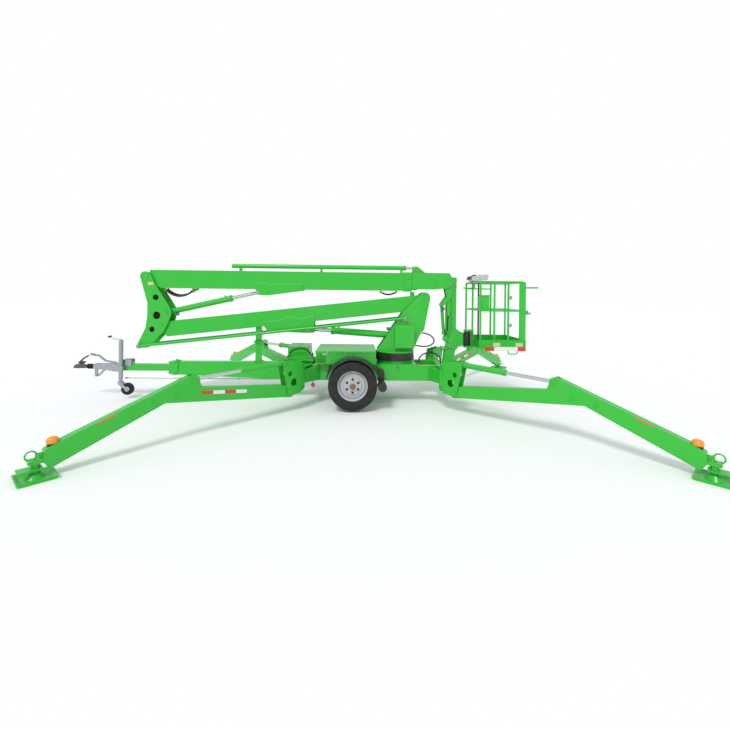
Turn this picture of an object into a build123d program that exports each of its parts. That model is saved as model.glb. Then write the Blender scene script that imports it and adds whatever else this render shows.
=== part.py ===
"""Trailer-mounted articulating boom lift, booms stowed and four outriggers set down.

Millimetres, +Z up, +X from the tow coupling towards the basket, ground at Z = 0.
The origin lies on the ground, under the middle of the machine's overall box.
Places along X are given from the middle of the outrigger stance, and at() moves them.
"""
from build123d import *
import os
from math import atan2, cos, degrees, hypot, radians, sin, sqrt, tan

os.makedirs("parts", exist_ok=True)

# ------------------------------------------------------------------ driving sizes
# outriggers: r is measured out from the upright hinge, z from the ground
hinge_x = 1121.0          # hinge from the stance middle, along X
hinge_y = 624.0           # hinge from the centre line
leg_yaw = 47.0            # legs point this far off the X axis
leg_pivot = (263.0, 320.0)
ram_pin = (366.0, 763.0)
knee_pin = (1725.0, 730.0)
foot_r = 3272.0
pad_side = 320.0
leg_width = 110.0
leg_wall = 6.0
bracket_gap = 61.0        # centre to the inner face of a bracket's side plate
bracket_plate = 12.0

# towing end
hitch_reach = 5110.0      # coupling nose from the stance middle
ball_radius = 25.0
coupling_z = 530.0

# running gear
tyre_diameter = 767.0
tyre_width = 215.0
rim_diameter = 470.0
wheel_track = 1505.0
axle_x0 = -307.0
axle_z = 405.0
stud_circle = 205.0
stud_count = 6
stub_radius = 30.0
guard_radius = 436.0
guard_width = 235.0

# chassis
chassis_front0 = -1103.0
chassis_rear0 = 1205.0
chassis_top = 645.0
chassis_height = 255.0
rail_width = 100.0
chassis_half = 330.0
rail_wall = 6.0

# slewing ring and turret
slew_x0 = 415.0
ring_radius = 336.0
ring_base_z = 713.0
ring_top_z = 845.0
ring_split_z = 776.0
turret_plate = 16.0
turret_gap = 108.0        # centre to the inner face of a turret or knuckle side plate
turret_base = 14.0

# booms: pins as (x from the stance middle, z)
boom_pin0 = (915.0, 1779.0)
knuckle_pin0 = (-3595.0, 1260.0)
tie_drop = (-339.0, -355.0)      # tie pin from the boom pin, at both ends
upper_pin0 = (-3865.0, 2090.0)
lower_ram_foot0 = (476.0, 1111.0)
lower_ram_eye0 = (-1100.0, 1217.0)
upper_ram_foot0 = (-3513.0, 1480.0)
upper_ram_eye0 = (-1958.0, 1842.0)
main_pin = 30.0
ram_foot_pin = 25.0
tie_pin = 22.0
boom_width = 170.0
cheek = 10.0                     # plates welded on a boom's sides to carry a ram's eye
lower_boom_depth = 260.0
lower_boom_sag = 75.0            # boom axis below the line of its pins
lower_boom_wall = 6.0
upper_boom_top = 2205.0
upper_boom_depth = 310.0
upper_boom_end0 = 554.0
upper_boom_wall = 8.0
collar_length = 140.0
collar_rim = 12.0
slide_gap = 7.0                  # between the inner boom and the outer boom's wall
inner_wall = 5.0
inner_start0 = -3300.0
tie_y = 155.0
tie_radius = 23.0
telescope_rise = 91.0            # telescope ram above the upper boom
telescope_radius = 37.0
telescope_rod_radius = 20.0

# jib and basket
level_pin0 = (1343.0, 2047.0)
jib_pin0 = (1350.0, 1800.0)
jib_length = 850.0
jib_half_width = 55.0
jib_wall = 6.0
jib_depth = 78.0
link_depth = 84.0
link_offset = (88.0, 280.0)      # link's pins from the jib's pins
jib_ram_foot_offset = (-118.0, -140.0)
jib_ram_eye_offset = (-67.0, -740.0)
small_pin = 20.0
jib_ram_pin = 16.0
head_gap = 62.0                  # centre to the inner face of the plates that hold the jib
head_plate = 12.0
nose_gap = 82.0                  # centre to the inner face of the inner boom's nose plates
rotator_x0 = 1690.0
rotator_radius = 56.0
rotator_z = (950.0, 1190.0)
basket_x0 = 1765.0
basket_depth = 775.0
basket_width = 900.0
basket_floor_z = 950.0
rail_z = 2057.0
rail_radius = 17.0
mid_rail_z = 1581.0
mid_rail_radius = 14.0
drop_bar_z = 1955.0
post_radius = 16.0
toe_height = 150.0
toe_wall = 4.0

# hoses that hang free: points of each route as (x from the stance middle, y, z)
boom_hose_radius = 14.0
boom_hose_route = [(-3530, 0, 1838), (-3450, 0, 1793), (-3330, 0, 1766), (-3212, 0, 1784), (-3110, 0, 1838)]
jib_hose_radius = 10.0
jib_hose_route = [
    (1335, -80, 1500), (1325, -102, 1445), (1318, -108, 1375), (1312, -108, 1300), (1316, -101, 1235),
    (1328, -80, 1185),
]
box_hose_radius = 12.0
box_hose_route = [
    (-1390, -268, 800), (-1345, -300, 862), (-1265, -312, 905), (-1170, -314, 915), (-1085, -312, 893),
    (-1025, -304, 835), (-1000, -290, 765),
]

# fits
pin_gap = 0.3             # a pin in its bore
eye_gap = 1.0             # a ram's eye between two cheeks
running_gap = 5.5         # pieces that pass each other or rest on each other

# ------------------------------------------------------------------ derived places
pad_reach = pad_side * (cos(radians(leg_yaw)) + sin(radians(leg_yaw))) / 2
stance_reach = hinge_x + foot_r * cos(radians(leg_yaw)) + pad_reach
stance_x = (hitch_reach - stance_reach) / 2
telescope_z = upper_boom_top + telescope_rise


def at(x):
    """X in the part's frame of a place given from the stance middle."""
    return stance_x + x


def shift(pin):
    """A pin (x from the stance middle, z) in the part's frame."""
    return (at(pin[0]), pin[1])


def plus(a, b):
    return (a[0] + b[0], a[1] + b[1])


slew_x = at(slew_x0)
axle_x = at(axle_x0)
boom_pin = shift(boom_pin0)
knuckle_pin = shift(knuckle_pin0)
tie_turret_pin = plus(boom_pin, tie_drop)
tie_knuckle_pin = plus(knuckle_pin, tie_drop)
upper_pin = shift(upper_pin0)
lower_ram_foot = shift(lower_ram_foot0)
lower_ram_eye = shift(lower_ram_eye0)
upper_ram_foot = shift(upper_ram_foot0)
upper_ram_eye = shift(upper_ram_eye0)
level_pin = shift(level_pin0)
jib_pin = shift(jib_pin0)
jib_foot_pin = plus(jib_pin, (0.0, -jib_length))
link_pin = plus(jib_pin, link_offset)
link_foot_pin = plus(jib_foot_pin, link_offset)
jib_ram_foot = plus(jib_pin, jib_ram_foot_offset)
jib_ram_eye = plus(jib_pin, jib_ram_eye_offset)
rotator_x = at(rotator_x0)

chassis_bottom = chassis_top - chassis_height
chassis_front = at(chassis_front0)
chassis_rear = at(chassis_rear0)
inner_half = chassis_half - rail_width
basket_left = at(basket_x0)
basket_right = basket_left + basket_depth
basket_half = basket_width / 2
tyre_radius = tyre_diameter / 2
rim_radius = rim_diameter / 2

# corner name, side along X, side along Y
corners = [("front_left", -1, -1), ("front_right", -1, 1), ("rear_left", 1, -1), ("rear_right", 1, 1)]


def corner_place(sx, sy):
    """Where a piece drawn in the outrigger's own frame (r along X) stands at its corner."""
    yaw = degrees(atan2(sy * sin(radians(leg_yaw)), sx * cos(radians(leg_yaw))))
    return Location((at(sx * hinge_x), sy * hinge_y, 0), (0, 0, yaw))


# ------------------------------------------------------------------ drawing helpers
def side_plate(outline, y_mid, thick, mode=Mode.ADD, corner=0.0):
    """Plate lying in the XZ plane, from its corner points, all rounded alike."""
    with BuildSketch(Plane.XZ.offset(-y_mid)) as face:
        with BuildLine():
            Polyline(*outline, close=True)
        make_face()
        if corner:
            fillet(face.vertices(), corner)
    extrude(face.sketch, amount=thick / 2, both=True, mode=mode)


def hull_plate(circles, y_mid, thick, mode=Mode.ADD):
    """Plate lying in the XZ plane, its outline drawn tight round circles (x, z, r)."""
    with BuildSketch(Plane.XZ.offset(-y_mid)) as face:
        for x, z, r in circles:
            with Locations((x, z)):
                Circle(r)
        if len(circles) > 1:
            make_hull()
    extrude(face.sketch, amount=thick / 2, both=True, mode=mode)


def cross_pin(pin, r, length, y_mid=0.0, mode=Mode.ADD):
    """Round pin or bore along Y."""
    hull_plate([(pin[0], pin[1], r)], y_mid, length, mode)


def block(x, y, z, mode=Mode.ADD):
    """Box from (low, high) pairs."""
    with Locations(((x[0] + x[1]) / 2, (y[0] + y[1]) / 2, (z[0] + z[1]) / 2)):
        Box(x[1] - x[0], y[1] - y[0], z[1] - z[0], mode=mode)


def rod_between(p, q, r, mode=Mode.ADD):
    """Round bar from point p to point q."""
    start, end = Vector(*p), Vector(*q)
    run = end - start
    with BuildSketch(Plane(origin=start, z_dir=run.normalized())) as face:
        Circle(r)
    extrude(face.sketch, amount=run.length, mode=mode)


def upright(x, y, z0, z1, r, mode=Mode.ADD):
    """Round bar along Z."""
    rod_between((x, y, z0), (x, y, z1), r, mode)


def bent_bar(points, r, bend=0.0):
    """Round bar along straight runs, joined by bends of one radius where there is one."""
    with BuildLine() as route:
        if bend:
            FilletPolyline(*points, radius=bend)
        else:
            Polyline(*points)
    wire = route.wires()[0]
    with BuildSketch(Plane(origin=wire @ 0, z_dir=wire % 0)) as face:
        Circle(r)
    sweep(face.sketch, path=wire)


def hose(route, r):
    """Hose along its route: straight runs, and at each turn the widest arc that they leave room for."""
    points = [Vector(at(x), y, z) for x, y, z in route]
    with BuildLine() as line:
        here = points[0]
        for before, corner, after in zip(points, points[1:], points[2:]):
            back, ahead = before - corner, after - corner
            reach = 0.45 * min(back.length, ahead.length)
            start = corner + back.normalized() * reach
            end = corner + ahead.normalized() * reach
            half_turn = radians(180 - back.get_angle(ahead)) / 2
            print("hose radius", round(reach / tan(half_turn)), "of", 2 * r)
            Line(here, start)
            TangentArc(start, end, tangent=corner - start)
            here = end
        Line(here, points[-1])
    wire = line.wires()[0]
    with BuildSketch(Plane(origin=wire @ 0, z_dir=wire % 0)) as face:
        Circle(r)
    sweep(face.sketch, path=wire)
    print("hose length", round(wire.length))


def gland(end, beside, r, reach):
    """Fitting that a hose's end meets face to face, going on in line with its last run."""
    tip = Vector(at(end[0]), end[1], end[2])
    run = tip - Vector(at(beside[0]), beside[1], beside[2])
    root = tip + run.normalized() * reach
    rod_between(tuple(tip), tuple(root), r)


def along(p, q, distance):
    """Point (x, z) at a distance from p towards q."""
    run = hypot(q[0] - p[0], q[1] - p[1])
    return (p[0] + (q[0] - p[0]) * distance / run, p[1] + (q[1] - p[1]) * distance / run)


def save(part, name):
    part.part.label = name
    export_step(part.part, f"parts/{name}.step")


# share of a barrel's radius: its eye, the rod and the rod's bore
barrel_eye_share = 0.95
rod_share = 0.58
gland_share = 1.14


def ram_barrel(foot, eye, length, radius, pin_r, eye_width):
    """Hydraulic barrel from its foot pin towards the rod's eye, bored for the rod."""
    head = along(foot, eye, length)
    start = along(foot, eye, radius * 0.8)
    rod_between((start[0], 0, start[1]), (head[0], 0, head[1]), radius)
    neck = along(foot, eye, length - radius)
    rod_between((neck[0], 0, neck[1]), (head[0], 0, head[1]), radius * gland_share)
    cross_pin(foot, radius * barrel_eye_share, eye_width)
    cross_pin(foot, pin_r + pin_gap, eye_width + 2 * radius, mode=Mode.SUBTRACT)
    bore = along(foot, eye, radius * 1.6)
    rod_between((bore[0], 0, bore[1]), (head[0], 0, head[1]), radius * rod_share + pin_gap, Mode.SUBTRACT)
    # ports at both ends, square to the barrel and on its upper side
    run = hypot(eye[0] - foot[0], eye[1] - foot[1])
    out = (-abs(eye[1] - foot[1]) / run, abs(eye[0] - foot[0]) / run)
    if (eye[0] - foot[0]) * (eye[1] - foot[1]) < 0:
        out = (-out[0], out[1])
    for distance in (radius * 2.2, length - radius * 2.2):
        port = along(foot, eye, distance)
        low, high = radius * 0.8, radius * 1.35
        start = (port[0] + out[0] * low, 0, port[1] + out[1] * low)
        rod_between(start, (port[0] + out[0] * high, 0, port[1] + out[1] * high), radius * 0.28)


def ram_rod(foot, eye, room, radius, eye_r, eye_width):
    """Rod from inside its barrel, clear of its foot by the room left, to its eye with the eye's pin."""
    start = along(foot, eye, room)
    end = along(eye, foot, eye_r * 0.5)
    rod_between((start[0], 0, start[1]), (end[0], 0, end[1]), radius * rod_share)
    cross_pin(eye, eye_r, min(eye_width, 2.2 * radius))
    cross_pin(eye, eye_r * 0.6, eye_width)


# ------------------------------------------------------------------ chassis
hinge_tube_radius = 50.0
hinge_bore = 32.0
hinge_tube_z = (370.0, 662.0)
arm_root = 260.0
arm_tip = 30.0
arm_z = (chassis_bottom + 15, chassis_top - 30)
deck = 15.0
jib_rest_top = jib_foot_pin[1] - jib_depth / 2 - running_gap

with BuildPart() as chassis_frame:
    block((chassis_front, chassis_rear), (-chassis_half, chassis_half), (chassis_bottom, chassis_top))
    bays = [
        (chassis_front + 80, slew_x - 330), (slew_x - 250, slew_x + 250), (slew_x + 330, chassis_rear - 80)
    ]
    for x0, x1 in bays:
        block((x0, x1), (-inner_half, inner_half), (chassis_bottom - 1, chassis_top + 1), Mode.SUBTRACT)
    for side in (-1, 1):
        rail_y = sorted((side * (inner_half + rail_wall), side * (chassis_half - rail_wall)))
        rail_x = (chassis_front + rail_wall, chassis_rear - rail_wall)
        block(rail_x, rail_y, (chassis_bottom + rail_wall, chassis_top - rail_wall), Mode.SUBTRACT)
    block((slew_x - 345, slew_x + 345), (-chassis_half, chassis_half), (chassis_top, chassis_top + deck))
    upright(slew_x, 0, chassis_top + deck, ring_base_z, ring_radius - 30)
    upright(slew_x, 0, chassis_top - 1, ring_base_z + 1, ring_radius - 90, Mode.SUBTRACT)
    for name, sx, sy in corners:
        end = chassis_front if sx < 0 else chassis_rear
        x, y = at(sx * hinge_x), sy * hinge_y
        arm = [
            (end, sy * (chassis_half - 5)), (end - sx * arm_root, sy * (chassis_half - 5)),
            (x - sx * arm_tip, y), (x + sx * arm_tip, y),
        ]
        hollow = [
            (end - sx * 8, sy * (chassis_half + 1)), (end - sx * (arm_root - 14), sy * (chassis_half + 1)),
            (x - sx * (arm_tip - 7), y - sy * 70), (x + sx * (arm_tip - 9), y - sy * 70),
        ]
        for outline, lift, mode in ((arm, 0, Mode.ADD), (hollow, rail_wall, Mode.SUBTRACT)):
            with BuildSketch(Plane.XY.offset(arm_z[0] + lift)):
                with BuildLine():
                    Polyline(*outline, close=True)
                make_face()
            extrude(amount=arm_z[1] - arm_z[0] - 2 * lift, mode=mode)
        # gusset over the arm, up to the top of the hinge tube
        with BuildSketch(Plane.XY.offset(hinge_tube_z[1] - 14)):
            with BuildLine():
                Polyline(
                    (end, sy * chassis_half), (end - sx * 120, sy * chassis_half), (x - sx * arm_tip, y),
                    (x + sx * arm_tip, y), close=True,
                )
            make_face()
        extrude(amount=14)
        upright(x, y, hinge_tube_z[0], hinge_tube_z[1], hinge_tube_radius)
        upright(x, y, hinge_tube_z[0] - 1, hinge_tube_z[1] + 1, hinge_bore + pin_gap, Mode.SUBTRACT)
    # lashing hooks on the rails
    for side in (-1, 1):
        hull_plate([(at(439), 560, 16), (at(439), 612, 24)], side * (chassis_half + 8), 18)
        cross_pin((at(439), 616), 11, 60, side * chassis_half, Mode.SUBTRACT)
    # stand at the rear end, which the foot of the hanging jib rests over
    for side in (-1, 1):
        side_plate(
            [
                (chassis_rear - 1, 420), (at(1400), 560), (at(1480), jib_rest_top - 20),
                (at(1290), jib_rest_top - 20), (at(1260), chassis_top), (chassis_rear - 1, chassis_top),
            ],
            side * 50, 8,
        )
    block((at(1262), at(1504)), (-60, 60), (jib_rest_top - 21, jib_rest_top))
    block((chassis_rear - 1, at(1290)), (-50, 50), (420, 436))
save(chassis_frame, "chassis_frame")

# ------------------------------------------------------------------ drawbar
drawbar_front0 = -3480.0
drawbar_half = 60.0
tube_front0 = -4290.0
tube_half = 50.0
tube_z = (469.0, 580.0)
tube_back0 = -3190.0
drawbar_wall = 6.0
rest_x0 = -1955.0
rest_side = 93.0
rest_joint_z = 985.0
rest_x = at(rest_x0)
rest_top = rest_joint_z - running_gap

with BuildPart() as drawbar:
    side_plate(
        [
            (at(drawbar_front0), 630), (chassis_front, chassis_top), (chassis_front, 392),
            (at(-1598), 341), (at(drawbar_front0), 416),
        ],
        0, 2 * drawbar_half,
    )
    side_plate(
        [
            (at(tube_back0), 622), (chassis_front - 6, chassis_top - 6), (chassis_front - 6, 399),
            (at(-1598), 348), (at(tube_back0), 412),
        ],
        0, 2 * (drawbar_half - drawbar_wall), Mode.SUBTRACT,
    )
    block((at(-3410), at(-3320)), (-drawbar_half - 14, drawbar_half + 14), (404, 645))
    # square inner tube
    block((at(tube_front0), at(tube_back0 - 1)), (-tube_half, tube_half), tube_z)
    hollow_x = (at(tube_front0 + 6), at(tube_back0))
    block(hollow_x, (-tube_half + 6, tube_half - 6), (tube_z[0] + 6, tube_z[1] - 6), Mode.SUBTRACT)
    # clamp bolts through the collar
    for z in (440, 612):
        cross_pin((at(-3365), z), 11, 2 * drawbar_half + 60)
    upright(at(-3365), 0, 644, 668, 14)
    # feet of the hydraulic box
    for x in (-1380, -1150):
        block((at(x), at(x + 40)), (-drawbar_half, drawbar_half), (630, 692))
    # post that the lower boom comes down on
    post_x = (rest_x - rest_side / 2, rest_x + rest_side / 2)
    block(post_x, (-rest_side / 2, rest_side / 2), (620, rest_top))
    block((rest_x - 75, rest_x + 75), (-75, 75), (rest_top - 12, rest_top))
    block((rest_x - 75, rest_x + 75), (-75, 75), (636, 652))
    block((rest_x - 40, rest_x + 40), (-40, 40), (610, rest_top - 12), Mode.SUBTRACT)
save(drawbar, "drawbar")

# ------------------------------------------------------------------ towing end
ball_x = at(-5062)
housing = [
    (at(-4769), 578), (at(-4290.5), 578), (at(-4290.5), 466), (at(-4345), 446), (at(-4430), 452),
    (at(-4560), 478), (at(-4769), 492),
]
# handbrake lever: pivot, elbow, bend and grip as (x, z, radius)
lever = [(-4420, 596, 16), (-4590, 626, 11), (-4698, 712, 11), (-4832, 738, 14)]
with BuildPart() as overrun_housing:
    side_plate(housing, 0, 2 * tube_half)
    # clamp that the jockey column slides in
    block((at(-4290.4), at(-4118)), (-tube_half - 12, tube_half + 12), (tube_z[1] + 0.3, tube_z[1] + 20))
    for side in (-1, 1):
        block(
            (at(-4290.4), at(-4118)), sorted((side * (tube_half + 0.3), side * (tube_half + 12))),
            (540, 660)
        )
    block((at(-4312), at(-4290.3)), (-tube_half - 12, tube_half + 12), (560, 600))
    # folding stand under the housing
    side_plate([(at(-4762), 496), (at(-4722), 496), (at(-4722), 356), (at(-4762), 356)], 0, 40)
    side_plate(
        [(at(-4722), 356), (at(-4722), 384), (at(-4604), 490), (at(-4566), 482), (at(-4700), 356)], 0, 16
    )
    rod_between((at(-4886), 0, coupling_z), (at(-4768), 0, coupling_z), 22)
    # handbrake lever
    for a, b in zip(lever, lever[1:]):
        for side in (-1, 1):
            hull_plate([(at(a[0]), a[1], a[2]), (at(b[0]), b[1], b[2])], side * 15, 6)
    hull_plate([(at(-4710), 716, 15), (at(-4828), 737, 16)], 0, 34)
    cross_pin((at(-4420), 596), 9, 42)
    block((at(-4450), at(-4390)), (-12, 12), (578.3, 604))
save(overrun_housing, "overrun_housing")

with BuildPart() as tow_coupling:
    with BuildSketch(Plane.XZ) as cheeks:
        with BuildLine():
            Polyline(
                (at(-5108), 500), (at(-5108), 530), (at(-5080), 562), (at(-5030), 577), (at(-4985), 572)
            )
            Polyline(
                (at(-4985), 572), (at(-4940), 556), (at(-4886.3), 556), (at(-4886.3), 504), (at(-5000), 500)
            )
            Polyline((at(-5000), 500), (at(-5108), 500))
        make_face()
        fillet(cheeks.vertices().sort_by(Axis.X)[:2], 14)
    extrude(cheeks.sketch, amount=38, both=True)
    with Locations((ball_x, 0, 512)):
        Sphere(ball_radius + 0.5, mode=Mode.SUBTRACT)
    upright(ball_x, 0, 480, 512, ball_radius + 0.5, Mode.SUBTRACT)
    # hand lever over the coupling
    hull_plate([(at(-4990), 580, 16), (at(-5006), 620, 12)], 0, 30)
    hull_plate([(at(-5006), 620, 12), (at(-4960), 668, 11)], 0, 24)
    hull_plate([(at(-4960), 668, 11), (at(-4888), 708, 12)], 0, 26)
save(tow_coupling, "tow_coupling")

with BuildPart() as coupling_bellows:
    with BuildSketch(Plane.XZ):
        with BuildLine():
            folds = 6
            pitch = 19.2
            points = [(at(-4885.5), coupling_z + 22.5)]
            for i in range(folds):
                x = at(-4885.5 + i * pitch)
                points += [
                    (x + 0.5, coupling_z + 34), (x + pitch / 2, coupling_z + 44),
                    (x + pitch - 1, coupling_z + 34)
                ]
            points += [(at(-4769.5), coupling_z + 34), (at(-4769.5), coupling_z + 22.5)]
            Polyline(*points, close=True)
        make_face()
    revolve(axis=Axis((0, 0, coupling_z), (1, 0, 0)))
save(coupling_bellows, "coupling_bellows")


# ------------------------------------------------------------------ jockey wheel
jockey_x = at(-4270)
jockey_y = -98.0
jockey_axle = (at(-4149), 168.0)
jockey_radius = 103.0
jockey_width = 60.0
column_radius = 35.0
with BuildPart() as jockey_column:
    upright(jockey_x, jockey_y, 330, 985, column_radius)
    upright(jockey_x, jockey_y, 985, 1010, 24)
    upright(jockey_x, jockey_y, 262, 330, 28)
    block((jockey_x - 55, jockey_x + 55), (jockey_y - 46, -tube_half - 12), (500, 556))
    for side in (-1, 1):
        hull_plate(
            [(jockey_x, 268, 28), (jockey_axle[0], jockey_axle[1], 20)],
            jockey_y + side * (jockey_width / 2 + 8), 6
        )
    block((jockey_x - 30, jockey_x + 30), (jockey_y - 41, jockey_y + 41), (272, 296))
    cross_pin(jockey_axle, 9, jockey_width + 30, jockey_y)
    bent_bar(
        [(jockey_x, jockey_y, 1004), (jockey_x - 120, jockey_y, 1016), (jockey_x - 186, jockey_y, 1052)], 9
    )
    cross_pin((jockey_x - 190, 1056), 15, 60, jockey_y)
save(jockey_column, "jockey_column")

with BuildPart() as jockey_wheel:
    hull_plate([(jockey_axle[0], jockey_axle[1], jockey_radius)], jockey_y, jockey_width)
    fillet(jockey_wheel.edges().filter_by(GeomType.CIRCLE), 15)
    for side in (-1, 1):
        hull_plate(
            [(jockey_axle[0], jockey_axle[1], 72)], jockey_y + side * jockey_width / 2, 24, Mode.SUBTRACT
        )
        hull_plate([(jockey_axle[0], jockey_axle[1], 24)], jockey_y + side * (jockey_width / 2 - 7), 14)
    cross_pin(jockey_axle, 9 + pin_gap, 80, jockey_y, Mode.SUBTRACT)
save(jockey_wheel, "jockey_wheel")

# ------------------------------------------------------------------ axle and wheels
beam_x = axle_x - 150
beam_z = 345.0
with BuildPart() as axle:
    block((beam_x - 40, beam_x + 40), (-560, 560), (beam_z - 40, beam_z + 40))
    for side in (-1, 1):
        hull_plate([(beam_x, beam_z, 52), (axle_x, axle_z, 48)], side * 580, 50)
        y0, y1 = side * 604, side * (wheel_track / 2 + 48)
        rod_between((axle_x, y0, axle_z), (axle_x, y1, axle_z), stub_radius)
        side_plate(
            [
                (beam_x - 90, chassis_bottom), (beam_x + 90, chassis_bottom), (beam_x + 48, beam_z - 46),
                (beam_x - 48, beam_z - 46)
            ],
            side * (inner_half + rail_width / 2), 14,
        )
save(axle, "axle")

hub_bore = stub_radius + 0.4
for name, side in (("left", -1), ("right", 1)):
    wheel_y = side * wheel_track / 2
    wheel_axis = Axis((axle_x, wheel_y, axle_z), (0, 1, 0))
    # half section: share of the half width, height over the rim
    section = [(-0.62, 0), (-0.90, 22), (-1.0, 62), (-0.98, 100), (-0.90, 134), (-0.78, 147), (-0.4, 148.5)]
    with BuildPart() as tyre:
        with BuildSketch(Plane.YZ.offset(axle_x)):
            with BuildLine():
                half = tyre_width / 2
                shoulder = [(wheel_y + half * s, axle_z + rim_radius + h) for s, h in section]
                shoulder += [(wheel_y - half * s, axle_z + rim_radius + h) for s, h in reversed(section)]
                Polyline(*shoulder, close=True)
            make_face()
        revolve(axis=wheel_axis)
    save(tyre, f"tyre_{name}")

    # rim section: outward offset from the wheel's middle, radius
    face = 30.0
    barrel = [
        (-70, 234.4), (-70, 226), (-58, 216), (-30, 205), (22, 205), (50, 216), (62, 226), (70, 226),
        (70, 234.4),
        (62, 234.4), (46, 226), (20, 214), (-28, 214), (-54, 226),
    ]
    disc = [
        (face - 24, 214), (face - 24, 204), (face - 6, 190), (face - 2, 150), (face + 22, 132),
        (face + 22, 84),
        (face + 40, 76), (face + 40, 52), (face + 58, 48), (face + 58, 0), (face + 48, 0),
        (face + 48, hub_bore), (-60, hub_bore), (-60, 66), (face + 8, 74), (face + 14, 120),
        (face - 12, 144), (face - 16, 184), (face - 34, 200),
        (face - 34, 214),
    ]
    with BuildPart() as rim:
        for outline in (barrel, disc):
            with BuildSketch(Plane.YZ.offset(axle_x)):
                with BuildLine():
                    Polyline(*[(wheel_y + side * a, axle_z + r) for a, r in outline], close=True)
                make_face()
            revolve(axis=wheel_axis)
        for i in range(stud_count):
            angle = radians(30 + i * 360 / stud_count)
            x = axle_x + stud_circle / 2 * cos(angle)
            z = axle_z + stud_circle / 2 * sin(angle)
            cross_pin((x, z), 11, 16, wheel_y + side * (face + 28))
    save(rim, f"rim_{name}")

# ------------------------------------------------------------------ mudguards and wheel drives
strut_z = 622.0
rear_strut_z = 590.0
guard_sheet = 5.0
drive_arm_y = wheel_track / 2 - 126
with BuildPart() as mudguards:
    for side in (-1, 1):
        with BuildSketch(Plane.XZ.offset(-side * wheel_track / 2)):
            with Locations((axle_x, axle_z)):
                Circle(guard_radius)
                Circle(guard_radius - guard_sheet, mode=Mode.SUBTRACT)
            with BuildLine():
                Polyline(
                    (axle_x, axle_z - 20), (axle_x - 600, axle_z + 200), (axle_x - 600, axle_z - 700),
                    (axle_x + 600, axle_z - 700), (axle_x + 600, axle_z + 240), close=True,
                )
            make_face(mode=Mode.SUBTRACT)
        extrude(amount=guard_width / 2, both=True)
        # turned-down outer edge
        with BuildSketch(Plane.XZ.offset(-side * (wheel_track / 2 + guard_width / 2 - 2))):
            with Locations((axle_x, axle_z)):
                Circle(guard_radius)
                Circle(guard_radius - 26, mode=Mode.SUBTRACT)
            with BuildLine():
                Polyline(
                    (axle_x, axle_z - 20), (axle_x - 600, axle_z + 200), (axle_x - 600, axle_z - 700),
                    (axle_x + 600, axle_z - 700), (axle_x + 600, axle_z + 240), close=True,
                )
            make_face(mode=Mode.SUBTRACT)
        extrude(amount=2, both=True)
        # front strut from the chassis, rear strut from the wheel drive's arm
        for sx, z, inboard in ((-1, strut_z, chassis_half), (1, rear_strut_z, drive_arm_y + 7.3)):
            x = axle_x + sx * sqrt((guard_radius - 3) ** 2 - (z - axle_z) ** 2)
            block((x - 20, x + 20), sorted((side * inboard, side * (wheel_track / 2 + 60))), (z - 4, z + 4))
save(mudguards, "mudguards")

roller_radius = 70.0
roller_x = axle_x + tyre_radius + roller_radius + 6.2
roller_z = axle_z - 12
motor = (roller_x - 52, axle_z + 194)
with BuildPart() as wheel_drives:
    for side in (-1, 1):
        y = side * wheel_track / 2
        cross_pin((roller_x, roller_z), roller_radius, 190, y)
        cross_pin((roller_x, roller_z), 18, 300, y - side * 40)
        hull_plate([(roller_x, roller_z, 46), (motor[0] + 34, motor[1] - 30, 60)], side * drive_arm_y, 14)
        cross_pin(motor, 44, 150, side * (wheel_track / 2 - 200))
        block((roller_x - 40, roller_x + 40), sorted((side * chassis_half, side * drive_arm_y)), (540, 590))
save(wheel_drives, "wheel_drives")

# ------------------------------------------------------------------ boxes on the chassis
battery_x = (at(-922), at(66))
battery_half = 450.0
battery_z = (chassis_top + 30, 895.0)
lid_z = 865.0
with BuildPart() as battery_box:
    block(battery_x, (-battery_half, battery_half), (battery_z[0], lid_z))
    for x0 in (battery_x[0] + 60, battery_x[1] - 140):
        block((x0, x0 + 80), (-chassis_half, chassis_half), (chassis_top, battery_z[0]))
    inside_x = (battery_x[0] + 20, battery_x[1] - 20)
    block(inside_x, (-battery_half + 20, battery_half - 20), (battery_z[0] + 20, lid_z + 1), Mode.SUBTRACT)
    # cooling slots, four columns of five on each side
    for side in (-1, 1):
        for i in range(4):
            for j in range(5):
                x = battery_x[0] + 52 + i * 36
                z = 708 + j * 32
                block(
                    (x - 11, x + 11), sorted((side * (battery_half - 21), side * (battery_half + 1))),
                    (z - 11, z + 11), Mode.SUBTRACT
                )
    # lid, laid on with a thin joint
    block(
        (battery_x[0] - 6, battery_x[1] + 6), (-battery_half - 6, battery_half + 6),
        (lid_z + 0.3, battery_z[1])
    )
    fillet(battery_box.edges().group_by(Axis.Z)[-1], 10)
    for side in (-1, 1):
        for x in (-560, -300):
            hull_plate([(at(x) - 26, 872, 8), (at(x) + 26, 872, 8)], side * (battery_half + 10), 10)
save(battery_box, "battery_box")

hydraulic_x = (at(-1410), at(-1057))
hydraulic_z = (692.3, 935.0)
with BuildPart() as hydraulic_box:
    block(hydraulic_x, (-240, 240), hydraulic_z)
    fillet(hydraulic_box.edges().filter_by(Axis.Z), 12)
    inside_x = (hydraulic_x[0] + 5, hydraulic_x[1] - 5)
    block(inside_x, (-235, 235), (hydraulic_z[0] + 5, hydraulic_z[1] - 5), Mode.SUBTRACT)
    for y in (-120, 120):
        upright(at(-1230), y, hydraulic_z[1] - 6, hydraulic_z[1] + 8, 26)
    # fittings of its hose
    gland(box_hose_route[0], box_hose_route[1], box_hose_radius + 4, 80)
    gland(box_hose_route[-1], box_hose_route[-2], box_hose_radius + 4, 40)
    block((at(-1100), at(-970)), (-302, -238), (700, 732))
save(hydraulic_box, "hydraulic_box")

with BuildPart() as hose_box:
    hose(box_hose_route, box_hose_radius)
save(hose_box, "hose_box")

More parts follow.
